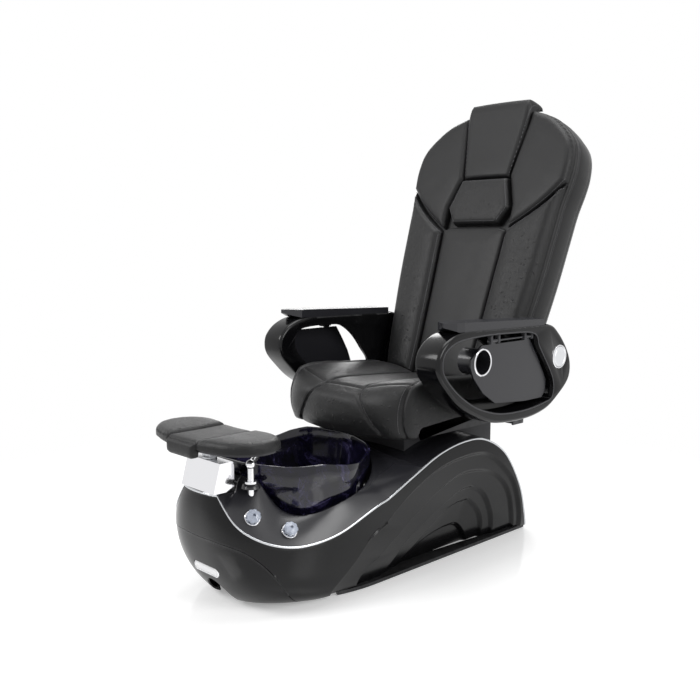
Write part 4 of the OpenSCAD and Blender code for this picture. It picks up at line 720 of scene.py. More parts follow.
@dataclass
class Base:
    """Moulded base: side shell with nested arches, kick panel, deck, rear cover, trim and glass bowl."""

    form: BaseForm = field(default_factory=BaseForm)
    fine: int = 6
    rows: int = 26
    wall: float = 4.5
    arch_step: float = 11
    riser: float = 11
    bowl_y: float = -320
    bowl_r: float = 226
    glass: float = 8
    bowl_floor: float = 130
    drain_r: float = 30
    band_z: float = 330
    opening_r: float = 235
    lip: float = 22
    opening_z: list = field(default_factory=lambda: [
        [0, 362], [25, 358], [31, 328], [37, 290], [45, 266], [54, 258], [66, 262], [82, 279], [95, 292],
        [112, 306], [135, 336], [160, 368], [180, 376]])
    rim_z: list = field(default_factory=lambda: [
        [0, 393], [25, 394], [45, 389], [70, 392], [90, 380], [108, 374], [126, 382], [150, 394], [180, 398],
        [205, 405], [218, 405], [232, 394], [244, 378], [270, 384], [300, 392], [330, 388], [360, 393]])
    pedestal: tuple = (160.3, -10.3, 425.3)
    pipe_holes: tuple = ((0, 80, 24), (-62, 120, 9.8), (62, 120, 9.8))
    jet_z: float = 240
    jet_r: float = 38.3
    light_half_w: float = 57
    light_h: float = 26
    light_z: float = 103

    def build(self) -> None:
        """Builds and dresses every shell of the base."""
        self.side_shell()
        self.kick()
        self.deck()
        self.rear()
        self.trim()
        self.bowl()
        self.taps()

    def columns(self, low: int, high: int) -> list[float]:
        """Fine column numbers from low to high."""
        return [low + k / self.fine for k in range((high - low) * self.fine + 1)]

    def side_shell(self) -> None:
        """Side shell with its arches, as fine strips either side."""
        f = self.form
        verts: list = []
        faces: list = []
        ws = [-4.0, -2.4, -0.8, 0.8, 2.4, 4.2, 6.2, 8.2, 10.4, 12.6]

        def strip(grid: list[list[Array]]) -> None:
            """Adds one sheet of points to the shell."""
            at = len(verts)
            n = len(grid[0])
            verts.extend(p for col in grid for p in col)
            faces.extend(tuple(at + k for k in q) for q in grid_faces(len(grid), n))

        plain = []
        for c in self.columns(-f.cols, f.cols):
            i = abs(c)
            a, b = f.edge_off(i, -f.trim_half_w - f.gap), f.seam_low(i, -4.0)
            plain.append([f.side(c, a + (b - a) * r / self.rows, 0) for r in range(self.rows + 1)])
        strip(plain)
        for sign in (1, -1):
            bands = []
            for i in self.columns(f.nose_cols, f.cols):
                col = []
                for k in range(len(f.arches)):
                    for w in ws:
                        t = min(max((w + 4.0) / 16.6, 0), 1)
                        depth = (k + t * t * (3 - 2 * t)) * self.arch_step
                        col.append(f.side(sign, f.arch(k, i, w), depth))
                bands.append(col)
            strip(bands)
            n = len(bands)
            inner = [[bands[k][-1] + (bands[n - 1 - k][-1] - bands[k][-1]) * t / 12 for t in range(13)]
                     for k in range(n // 2 + 1)]
            strip([[self.on_skin(p, sign, len(f.arches) * self.arch_step) for p in row] for row in inner])
        shell = thicken(new_object("side_shell", np.array(verts) * MM, faces, 60), self.wall)
        shade(shell, 40)
        CHAIR.place(shell, "base", Paint.SHELL, "moulded_black", replaces=["base_shell"])

    def on_skin(self, p: Array, sign: int, depth: float) -> Array:
        """The skin point at p's place along the side and height."""
        s = (p[1] - self.form.nose_y) + 1000
        return self.form.side(sign, (s, p[2]), depth)

    def kick(self) -> None:
        """Kick panel under the nose, with its toe notch and the lamp's hollow."""
        f = self.form
        grid = []
        for c in self.columns(-f.kick_cols, f.kick_cols):
            i = abs(c)
            top = f.seam_low(i, 0) - [0, 2]
            bottom = np.array([min(top[0], f.kick_seam[6][0] * i / f.kick_cols), f.floor_gap])
            shift = np.array([8 * i / f.kick_cols, 0])
            a = np.maximum(top - shift, [0, f.floor_gap + 1])
            b = np.maximum(bottom - shift, [0, f.floor_gap])
            grid.append([f.side(c, a + (b - a) * r / 24, 1) for r in range(25)])
        panel = thicken(grid_object("kick_shell", np.array(grid), smooth=60), self.wall)
        face_y = f.skin(0, self.light_z)[1] + 4
        cut(panel, prism("lamp_tool", self.lamp_outline(0.6), face_y - 100, face_y + 12, depth_along_y))
        a = np.linspace(-0.1, math.pi + 0.1, 40)
        notch = np.c_[52.5 * np.cos(a), 70 * np.sin(a)]
        cut(panel, prism("notch_tool", notch, f.nose_y - 560, f.nose_y - 220, depth_along_y))
        shade(panel, 40)
        CHAIR.place(panel, "base", Paint.SHELL, "moulded_black", replaces=["kick_panel"])
        lens = prism("lamp_lens_body", self.lamp_outline(-2.6), face_y - 2.6, face_y + 9, depth_along_y)
        rounded(lens, 1.8)
        CHAIR.place(lens, "base", Paint.LAMP, "lamp_lens", replaces=["light_bar"])
        hoop_out, hoop_in = self.lamp_outline(0.2), self.lamp_outline(-2.8)
        rows = np.array([np.c_[hoop_out, np.full(len(hoop_out), face_y + 6)],
                         np.c_[hoop_out, np.full(len(hoop_out), face_y - 2.5)],
                         np.c_[grow(hoop_out, -1), np.full(len(hoop_out), face_y - 3.6)],
                         np.c_[grow(hoop_in, 0.6), np.full(len(hoop_in), face_y - 3.6)],
                         np.c_[hoop_in, np.full(len(hoop_in), face_y - 2.4)],
                         np.c_[hoop_in, np.full(len(hoop_in), face_y + 6)]])
        bezel = grid_object("lamp_bezel", rows[:, :, [0, 2, 1]], wrap_rows=True, wrap_cols=True, smooth=30)
        CHAIR.place(bezel, "base", Paint.CHROME, "bright_trim")

    def lamp_outline(self, by: float) -> Array:
        """Outline of the oblong lamp seen from the front, grown by a distance."""
        r = self.light_h / 2 + by
        a = np.linspace(-math.pi / 2, math.pi / 2, 17)
        right = np.c_[self.light_half_w - self.light_h / 2 + r * np.cos(a), self.light_z + r * np.sin(a)]
        left = np.c_[-right[::-1, 0], right[::-1, 1]]
        return np.vstack([right, left])

    def deck(self) -> None:
        """Glossy deck round the bowl, with the rounded collar of its opening."""
        f = self.form
        outer = [f.side(c, self.deck_rim(abs(c)), 1) for c in self.columns(-f.seam_col, f.seam_col)]
        outer += [f.cross(f.seam_col, 1 - 2 * k / 48, 0) - [0, f.gap + 0.1, 0] for k in range(1, 48)]
        cols = len(self.columns(-f.seam_col, f.seam_col))
        grid = []
        for q, p in enumerate(outer):
            c = -f.seam_col + q / self.fine if q < cols else 99
            a = math.atan2(p[1] - self.bowl_y, p[0])
            o = self.opening(a, self.opening_r, 0)
            shelf = min(max((3 - abs(c)) / 1, 0), 1)
            m1 = p + (o - p) * 0.35 + [0, 0, 5]
            flat = np.array([p[0] * 0.98, -584, p[2] - 0.5])
            m1 = m1 + (flat - m1) * shelf
            m2 = p + (o - p) * 0.72 + [0, 0, 5]
            m2 = m2 + ((m1 + o) / 2 + [0, 0, 5] - m2) * shelf
            lead = spline([p, m1, m2, o], np.linspace(0, 2.86, 16))
            lip = [self.opening(a, self.opening_r - 2, -1.2), self.opening(a, self.opening_r - 3.2, -4.5),
                   self.opening(a, self.opening_r - 3.4, -self.lip)]
            grid.append(np.vstack([lead, lip]))
        deck = grid_object("gloss_deck", np.array(grid), wrap_rows=True, smooth=60)
        thicken(deck, 3.2)
        shade(deck, 40)
        CHAIR.place(deck, "base", Paint.GLOSS, "gloss_black", replaces=["bowl_deck"])

    def deck_rim(self, i: float) -> Array:
        """Outer edge of the deck just above the trim."""
        f = self.form
        if i < 2:
            return np.array([80 * i, f.nose_top_z + f.trim_half_w + f.gap])
        return f.edge_off(i, f.trim_half_w + f.gap)

    def opening(self, a: float, r: float, dz: float) -> Array:
        """Point on the deck's opening at angle a about the bowl's axis."""
        deg = math.degrees(a)
        turn = abs(((deg + 90 + 540) % 360) - 180)
        t = np.array(self.opening_z, float)
        z = float(np.interp(turn, t[:, 0], t[:, 1]))
        near = [float(np.interp(abs(turn + d), t[:, 0], t[:, 1])) for d in (-4, -2, 2, 4)]
        return np.array([r * math.cos(a), self.bowl_y + r * math.sin(a), (z + sum(near)) / 5 + dz])

    def rear(self) -> None:
        """Cover behind the bowl, over the hump and down the rear."""
        f = self.form
        grid = [[f.cross(i, 1 - 2 * k / 40, 0) for k in range(41)] for i in self.columns(f.seam_col, f.cols)]
        cover = thicken(grid_object("rear_shell", np.array(grid), smooth=60), self.wall)
        w, y0, y1 = self.pedestal
        outline = np.array([[-w, y0], [w, y0], [w, y1], [-w, y1]])
        cut(cover, prism("pedestal_tool", outline, 200, 460, flat_up))
        for x, z, r in self.pipe_holes:
            cut(cover, lathe("pipe_tool", [[0, 0], [r, 0], [r, 200], [0, 200]], (x, 400, z), (0, 1, 0), 32))
        shade(cover, 40)
        CHAIR.place(cover, "base", Paint.GLOSS, "gloss_black", replaces=["rear_cover"])

    def trim(self) -> None:
        """Bright half-round strip between deck and side shell."""
        f = self.form
        grid = []
        for c in self.columns(-f.cols, f.cols):
            w = f.trim_half_w
            col = [f.side(c, f.edge_off(abs(c), w * math.cos(a)), -2 * math.sin(a))
                   for a in np.linspace(0, math.pi, 9)]
            col += [f.side(c, f.edge_off(abs(c), e), 4) for e in (-w, w)]
            grid.append(col)
        strip = grid_object("bright_strip", np.array(grid), wrap_cols=True, smooth=45)
        CHAIR.place(strip, "base", Paint.TRIM, "bright_trim", replaces=["deck_trim"])

    def bowl(self) -> None:
        """Art-glass bowl with a thick, softly lobed rim."""
        t = np.array(self.rim_z, float)
        grid = []
        g, z0, b = self.glass, self.bowl_floor, self.band_z
        for k in range(240):
            a = -math.pi / 2 + 2 * math.pi * k / 240
            top = float(np.interp(360 * k / 240, t[:, 0], t[:, 1]))
            r = self.bowl_r + 3 * math.sin(9 * a)
            wave = 1.2 * math.sin(9 * a + 1.3)
            profile = [(self.drain_r, z0), (r * 0.42, z0 + 2), (r * 0.7, z0 + 22), (r * 0.86, z0 + 62),
                       (r * 0.93, z0 + 115), (r * 0.955, b - 24), (r * 0.962, b - 10), (r * 0.97 + 1.5, b - 2),
                       (r - 2 + wave, b + 8), (r - 1 + wave, (b + top) / 2), (r, top - 4), (r - 1.2, top - 1),
                       (r - g / 2, top), (r - g + 1.2, top - 1), (r - g, top - 4), (r - g - 1, (b + top) / 2),
                       (r * 0.97 - g, b), (r * 0.955 - g, b - 20), (r * 0.93 - g, z0 + 115),
                       (r * 0.86 - g, z0 + 66), (r * 0.7 - g * 0.6, z0 + 22 + g), (r * 0.42, z0 + 2 + g),
                       (self.drain_r, z0 + g)]
            grid.append([(q * math.cos(a), self.bowl_y + q * math.sin(a), z) for q, z in profile])
        bowl = grid_object("glass_basin", np.array(grid), wrap_rows=True, wrap_cols=True, smooth=50)
        jet_y = self.bowl_y - self.bowl_r * 0.8
        plug = [[0, 0], [self.jet_r, 0], [self.jet_r, 80], [0, 80]]
        cut(bowl, lathe("jet_tool", plug, (0, jet_y + 30, self.jet_z), (0, -1, 0), 48))
        shade(bowl, 40)
        CHAIR.place(bowl, "base", glass_material(), "bowl_glass", replaces=["glass_bowl"])

    def taps(self) -> None:
        """Tap knobs with cut facets, their seats, and the spout's collar."""
        spots = {"hot": ((150.7, -586.0, 271.2), (0.7625, -0.2930, 0.5768)),
                 "cold": ((206.5, -507.4, 230.8), (0.6835, -0.1701, 0.7098))}
        for name, (at, axis) in spots.items():
            seat = lathe(f"tap_seat_{name}", [[0, -10], [23, -10], [23, 0.2], [21.5, 1.4], [0, 1.5]], at, axis)
            CHAIR.place(seat, "base", Paint.GLOSS, "gloss_black")
            ring = lathe(f"tap_ring_{name}", [[16.5, 1.4], [21, 1.4], [21.4, 2.4], [20.6, 3.3], [17, 3.3], [16.5, 2.6]],
                         at, axis)
            CHAIR.place(ring, "base", Paint.CHROME, "mirror_chrome")
            turn = np.array(Vector(axis).to_track_quat("Z", "Y").to_matrix())
            rings = []
            for h, r, flute in ((-38, 5, 0), (3.4, 5, 0), (3.4, 15, 0), (6, 16, 0.2), (8.5, 19, 1.0), (17, 19.6, 1.0),
                                (21.5, 16.5, 0.8), (23.3, 11, 0.3), (23.8, 4, 0)):
                a = np.linspace(0, 2 * math.pi, 96, endpoint=False)
                q = r - 2.2 * flute * (0.5 + 0.5 * np.cos(8 * a)) ** 2
                rings.append(np.c_[q * np.cos(a), q * np.sin(a), np.full(96, h)] @ turn.T + np.array(at))
            knob = grid_object(f"knob_{name}_cut", np.array(rings), wrap_cols=True, smooth=25)
            CHAIR.place(knob, f"{name}_knob", Paint.CRYSTAL, "knob_crystal", replaces=[f"knob_{name}"])
        turned = [[9.6, 340], [26, 340], [22, 350], [19, 352], [9.6, 352]]
        collar = lathe("spout_collar", turned, (112, -560, 0), (0, 0, 1))
        CHAIR.place(collar, "base", Paint.GLOSS, "gloss_black")


# ------------------------------------------------------------------ padded pieces

Place = Callable[[Array], Array]
TILT = math.radians(19.5)


def on_back(p: Array) -> Array:
    """Turns (x, height up the back, depth forward) into the row frame, in millimetres."""
    s, c = math.sin(TILT), math.cos(TILT)
    return np.c_[p[:, 0], 430 - p[:, 2] * c + p[:, 1] * s, 500 + p[:, 2] * s + p[:, 1] * c]


def facing_front(p: Array) -> Array:
    """Turns (x, z, depth forward) into the row frame."""
    return np.c_[p[:, 0], -p[:, 2], p[:, 1]]


def gap_to(outline: Array, pts: Array) -> Array:
    """Distance from each 2-D point to a closed outline."""
    a, b = outline, np.roll(outline, -1, 0)
    d = b - a
    rel = pts[:, None] - a[None]
    t = np.clip(np.sum(rel * d, 2) / (np.sum(d * d, 1) + 1e-9), 0, 1)
    return np.min(np.linalg.norm(rel - t[..., None] * d, axis=2), axis=1)


def inside(outline: Array, pts: Array) -> Array:
    """Which 2-D points lie inside a closed outline."""
    x, y = pts[:, 0][:, None], pts[:, 1][:, None]
    a, b = outline, np.roll(outline, -1, 0)
    crossing = ((a[:, 1] > y) != (b[:, 1] > y)) & (
        x < (b[:, 0] - a[:, 0]) * (y - a[:, 1]) / (b[:, 1] - a[:, 1] + 1e-12) + a[:, 0])
    return np.sum(crossing, axis=1) % 2 == 1


def ripple(pts: Array, scale: float, seed: float) -> Array:
    """Smooth noise at 2-D points, about -1 to 1."""
    return np.array([noise.noise(Vector((x / scale, y / scale, seed))) for x, y in pts])


@dataclass
class Pad:
    """A stuffed panel over a flat outline. Sizes in millimetres, depths measured outwards."""

    name: str
    outline: Array
    base: float
    edge: float
    face: float
    place: Place
    roll: float = 14
    crown: float = 4
    belly: float = 50
    cell: float = 7
    pucker: float = 0.5
    slack: float = 0.8
    seed: float = 0.0
    lift: Callable[[Array], Array] | None = None

    def height(self, pts: Array) -> Array:
        """Depth of the padded surface over 2-D points."""
        d = gap_to(self.outline, pts)
        t = np.clip(d / self.roll, 0, 1)
        h = self.edge + (self.face - self.edge) * np.sqrt(np.clip(1 - (1 - t) ** 2, 0, 1))
        b = np.clip(d / self.belly, 0, 1)
        h += self.crown * b * (2 - b)
        near = np.exp(-((d - 7) / 7) ** 2)
        h += self.pucker * near * ripple(pts, 9, self.seed) + self.slack * b * ripple(pts, 60, self.seed + 5)
        if self.lift is not None:
            h = h + self.lift(pts)
        return h

    def mesh(self) -> bpy.types.Object:
        """Builds the closed, crowned form."""
        length = np.sum(np.linalg.norm(np.roll(self.outline, -1, 0) - self.outline, axis=1))
        rim = even(self.outline, max(int(length / 4), 24), closed=True)
        low, high = self.outline.min(0), self.outline.max(0)
        pts = [rim]
        for share in (0.06, 0.22, 0.5, 0.8):
            ring = grow(even(self.outline, int(length / 5), closed=True), -self.roll * share)
            ok = inside(self.outline, ring) & (gap_to(self.outline, ring) > self.roll * share * 0.93)
            pts.append(ring[ok])
        xs, ys = np.meshgrid(np.arange(low[0], high[0], self.cell), np.arange(low[1], high[1], self.cell * 0.87))
        xs[1::2] += self.cell / 2
        fill = np.c_[xs.ravel(), ys.ravel()]
        fill = fill[inside(self.outline, fill)]
        pts.append(fill[gap_to(self.outline, fill) > self.roll * 1.02])
        flat = np.vstack(pts)
        n = len(rim)
        out, _, faces, _, _, _ = delaunay_2d_cdt([Vector(p) for p in flat.tolist()],
                                                 [(k, (k + 1) % n) for k in range(n)], [], 1, 1e-4)
        top = np.array([[p.x, p.y] for p in out])
        edge_gap = gap_to(self.outline, top)
        h = self.height(top)
        h[edge_gap < 0.05] = self.edge
        verts = [*np.c_[top, h]]
        at = len(verts)
        for depth in (self.edge, (self.edge + self.base) / 2, self.base):
            verts.extend(np.c_[rim, np.full(n, depth)])
        sides = [(at + r * n + k, at + r * n + (k + 1) % n, at + (r + 1) * n + (k + 1) % n, at + (r + 1) * n + k)
                 for r in range(2) for k in range(n)]
        cap = [tuple(range(at + 2 * n, at + 3 * n))]
        return new_object(self.name, self.place(np.array(verts)) * MM, list(faces) + sides + cap, 60)

    def stitch(self, name: str, path: Array, pitch: float = 7.5, long: float = 4.8) -> bpy.types.Object:
        """A row of thread stitches lying on the surface along a 2-D path."""
        run = along(path)
        verts, faces = [], []
        count = int(run[-1] / pitch)
        for k in range(count):
            s = (k + 0.5) * pitch
            u = np.array([s - long / 2, s - long * 0.3, s + long * 0.3, s + long / 2])
            q = np.c_[np.interp(u, run, path[:, 0]), np.interp(u, run, path[:, 1])]
            h = self.height(q)
            mid = np.c_[q, h + np.array([-0.5, 0.25, 0.25, -0.5])]
            up = np.array([0, 0, 1.0])
            first = len(verts)
            add_stitch(verts, faces, mid, unit(np.cross(mid[2] - mid[1], up)), up, 0.62)
            faces += [tuple(first + k for k in (4, 3, 2, 1, 0)), tuple(first + 15 + k for k in range(5))]
        return new_object(name, self.place(np.array(verts)) * MM, faces, 80)


def mirrored(outline: Array) -> Array:
    """The outline on the other side of the middle plane, wound the same way."""
    return (outline * [-1, 1])[::-1]


@dataclass
class BackRest:
    """Reclining back: core with its gusset, middle panel, bolsters, wings, neck pad and head flap."""

    half: list = field(default_factory=lambda: [
        [246, -5], [264, 63], [284, 214], [301, 369], [312, 526], [319, 625], [331, 700], [335, 760], [325, 825],
        [294, 875], [232, 930], [165, 960], [88, 977], [0, 982]])
    wing_line: list = field(default_factory=lambda: [[140, 532], [200, 572], [270, 630], [328, 695]])
    front: float = 70
    face: float = 98
    seam: float = 2.4

    def build(self) -> None:
        """Builds and dresses the back's padding and rear shell."""
        self.core()
        self.panel()
        for side in (1, -1):
            self.bolster(side)
            self.wing(side)
        self.neck()
        self.flap()
        self.rear()

    def half_line(self, inset: float) -> Array:
        """Right half of the back's outline, from the bottom up, moved inwards."""
        right = spline(self.half, np.linspace(0, len(self.half) - 1, 160))
        full = np.vstack([right, (right * [-1, 1])[::-1][1:]])
        return grow(full, -inset)[: len(right)]

    def ring(self, inset: float, count: int = 300) -> Array:
        """The back's whole outline, closed, moved inwards."""
        right = spline(self.half, np.linspace(0, len(self.half) - 1, 160))
        bottom = np.c_[np.linspace(-246, 246, 40)[1:-1], np.full(38, -5.0)]
        full = np.vstack([right, (right * [-1, 1])[::-1][1:], bottom])
        return grow(even(full, count, closed=True), -inset)

    def core(self) -> None:
        """Front slab and crowned side gusset with its two rows of stitching."""
        profile = [(-28, 26), (-28, 1.5), (-24, 0), (-8, -2.4), (12, -3.4), (30, -2.8), (42, -1.2), (47, 0.6),
                   (49, 0.9), (52, -0.6), (58, -1.4), (64, -0.4), (68.5, 2.6), (70, 6), (70, 40)]
        grid = np.array([np.c_[self.ring(i), np.full(300, d)] for d, i in profile])
        rows, cols = grid.shape[:2]
        faces = grid_faces(rows, cols, wrap_cols=True) + [tuple(range((rows - 1) * cols, rows * cols))]
        core = new_object("back_core", on_back(grid.reshape(-1, 3)) * MM, faces, 60)
        CHAIR.place(core, "back", Paint.SMOOTH, "grain_leather", replaces=["back_cushion"], fill=0.8)
        for k, depth in enumerate((45.0, 54.0)):
            CHAIR.place(self.gusset_stitch(f"gusset_stitch_{k}", depth), "back", Paint.THREAD, "black_leather")

    def gusset_stitch(self, name: str, depth: float) -> bpy.types.Object:
        """Stitches round the gusset at one depth."""
        line = self.half_line(-0.4 if depth > 50 else 0.1)
        line = np.vstack([line, (line * [-1, 1])[::-1][1:]])
        run = along(line)
        verts, faces = [], []
        pitch = 7.5
        for k in range(int(run[-1] / pitch)):
            s = (k + 0.5) * pitch
            first = len(verts)
            for ds, sink in ((-2.4, 0.5), (-1.4, -0.25), (1.4, -0.25), (2.4, 0.5)):
                q, ahead = (np.array([np.interp(s + ds + step, run, line[:, d]) for d in (0, 1)]) for step in (0, 1))
                e = ahead - q
                out = unit(np.array([e[1], -e[0]]))
                for a in THREAD_ANGLES:
                    verts.append([*(q + out * (0.6 * math.cos(a) - sink)), depth + 0.6 * math.sin(a)])
            faces += [tuple(first + k for k in quad) for quad in grid_faces(4, len(THREAD_ANGLES), wrap_cols=True)]
        return new_object(name, on_back(np.array(verts)) * MM, faces, 80)

    def panel(self) -> None:
        """Middle panel."""
        right = np.array([[119.5, -5], [121, 120], [127, 300], [137.5, 530], [104, 541]], float)
        outline = np.vstack([right, mirrored(right)])
        pad = Pad("back_panel", outline, self.front, 84, 97, on_back, roll=13, crown=5, belly=80, seed=1)
        CHAIR.place(pad.mesh(), "back", Paint.SMOOTH, "grain_leather", fill=0.75)

    def bolster_outline(self) -> Array:
        """Outline of the near bolster, in the back's frame."""
        edge = self.half_line(self.seam + 1)
        top = spline(self.wing_line, np.linspace(0, 3, 30)) + [self.seam, -5]
        inner = spline([[124.5, -5], [126, 120], [132, 300], [142.5, 527]], np.linspace(0, 3, 60))
        edge = edge[edge[:, 1] < top[-1, 1] - 2]
        return np.vstack([inner[::-1], edge, top[::-1][:-1]])[::-1]

    def bolster(self, side: int) -> None:
        """Side bolster, fullest near its inner seam."""
        outline = self.bolster_outline()

        def lift(p: Array) -> Array:
            """Fuller along the middle of the bolster, lower towards the gusset."""
            x = np.abs(p[:, 0])
            return 5 * np.exp(-((x - 185) / 40) ** 2) - 5 * np.clip((x - 240) / 60, 0, 1)

        name = "left" if side > 0 else "right"
        pad = Pad(f"bolster_{name}", outline if side > 0 else mirrored(outline), self.front, 80, 110, on_back,
                  roll=24, crown=6, belly=60, seed=2 + side, lift=lift)
        CHAIR.place(pad.mesh(), "back", Paint.QUILL, "grain_leather", fill=0.8)
        seam = np.array([[132, 6], [133.5, 120], [139.5, 300], [149, 512]], float) * [side, 1]
        path = spline(seam, np.linspace(0, 3, 60))
        CHAIR.place(pad.stitch(f"bolster_stitch_{name}", path), "back", Paint.THREAD, "black_leather")
        top = (spline(self.wing_line, np.linspace(0.06, 2.94, 40)) + [self.seam, -13]) * [side, 1]
        CHAIR.place(pad.stitch(f"bolster_top_stitch_{name}", top), "back", Paint.THREAD, "black_leather")

    def wing(self, side: int) -> None:
        """Smooth shoulder wing beside the head flap."""
        low = spline(self.wing_line, np.linspace(0, 3, 30)) + [0, 3]
        edge = self.half_line(self.seam + 1)
        edge = edge[(edge[:, 1] > low[-1, 1] + 4) & (edge[:, 0] > 133)]
        inner = np.array([[136, 968], [133, 925], [102, 726], [138.5, 615], [138.5, 603], [140, 536]], float)
        outline = np.vstack([low, edge, inner])
        name = "left" if side > 0 else "right"
        pad = Pad(f"shoulder_{name}", outline if side > 0 else mirrored(outline), self.front, 80, 101, on_back,
                  roll=20, crown=4, belly=70, seed=6 + side)
        CHAIR.place(pad.mesh(), "back", Paint.SMOOTH, "black_leather",
                    replaces=[f"wing_{name}"], fill=0.75)
        stitch_line = (spline(self.wing_line, np.linspace(0.1, 2.95, 40)) + [2, 12]) * [side, 1]
        CHAIR.place(pad.stitch(f"shoulder_stitch_{name}", stitch_line), "back", Paint.THREAD, "black_leather")

    def neck(self) -> None:
        """Six-sided neck pad."""
        right = np.array([[98, 550], [133, 609], [97, 719]], float)
        outline = np.vstack([right, mirrored(right)])
        pad = Pad("neck_cushion", outline, self.front, 84, 104, on_back, roll=15, crown=6, belly=50, seed=9)
        CHAIR.place(pad.mesh(), "back", Paint.QUILL, "grain_leather", replaces=["neck_pad"], fill=0.85)
        ring = grow(even(outline, 200, closed=True), -9)
        ring = ring[gap_to(outline, ring) > 8.2]
        CHAIR.place(pad.stitch("neck_stitch", ring), "back", Paint.THREAD, "black_leather")

    def flap(self) -> None:
        """Head flap that hangs over the top of the back."""
        outer = spline([[99, 723], [101, 745], [104, 820], [109, 900], [113, 950], [114, 978], [109, 996], [98, 1002],
                        [75, 1003], [54, 1001], [44, 994], [41.5, 984]], np.linspace(0, 11, 90))
        inner = even(np.array([[71, 723], [71, 970], [68, 983], [42, 983]], float), 90)
        run = along(outer)
        rows = []
        for k, (o, i) in enumerate(zip(outer, inner)):
            v = min(o[1], 1000)
            w = 97 + 37 * (v - 724) / 276 + (8 * max(0, (110 - o[0]) / 70) if v > 960 else 0)
            soft = min(1, (run[k] + 0.2) / 12, (run[-1] - run[k] + 0.2) / 8)
            row = []
            for t in np.linspace(-1, 1, 61):
                x = math.sin(t * math.pi / 2)
                d = min((1 - abs(x)) * w / 16, 1)
                lift = math.sqrt(max(1 - (1 - d) ** 2, 0)) * math.sqrt(max(1 - (1 - soft) ** 2, 0))
                body = 0.62 + 0.38 * lift
                q = i + (o - i) * body
                q = q + (o - i) / (np.linalg.norm(o - i) + 1e-9) * 3 * (1 - x * x) * lift
                row.append([x * w, q[1], q[0]])
            row += [[w, i[1], i[0]], [0, i[1], i[0]], [-w, i[1], i[0]]]
            rows.append(row)
        grid = np.array(rows)
        n, m = grid.shape[:2]
        flap = new_object("head_flap", on_back(grid.reshape(-1, 3)) * MM, capped_faces(n, m), 60)
        CHAIR.place(flap, "back", Paint.SMOOTH, "black_leather", replaces=["headrest_flap"], fill=0.7)
        for side, name in ((1, "left"), (-1, "right")):
            verts, quads = [], []
            for k in range(4, 62, 2):
                p, q = on_back(grid[[k, k + 1], 30 + 27 * side])
                across = np.array([1.0, 0, 0])
                up = unit(np.cross(q - p, across))
                centres = [p + (q - p) * share - up * sink
                           for share, sink in ((0, -0.5), (0.25, 0.3), (0.75, 0.3), (1, -0.5))]
                add_stitch(verts, quads, centres, across, up, 0.6)
            stitches = new_object(f"flap_stitch_{name}", np.array(verts) * MM, quads, 80)
            CHAIR.place(stitches, "back", Paint.THREAD, "black_leather")

    def rear(self) -> None:
        """Moulded rear shell."""
        rings = [(-28.4, 2), (-40, 2.4), (-52, 8), (-62, 18), (-69, 30), (-73, 46), (-74, 66)]
        grid = np.array([np.c_[self.ring(i), np.full(300, d)] for d, i in rings])
        rows, cols = grid.shape[:2]
        faces = grid_faces(rows, cols, wrap_cols=True) + [tuple(range((rows - 1) * cols, rows * cols))]
        shell = thicken(new_object("rear_moulding", on_back(grid.reshape(-1, 3)) * MM, faces, 60), 4)
        opening = np.array([[-225, -90], [225, -90], [225, 10], [-225, 10]], float)
        cut(shell, prism("lug_tool", opening, -130, -24, on_back))
        shade(shell, 40)
        CHAIR.place(shell, "back", Paint.SHELL, "moulded_black", replaces=["back_shell"])


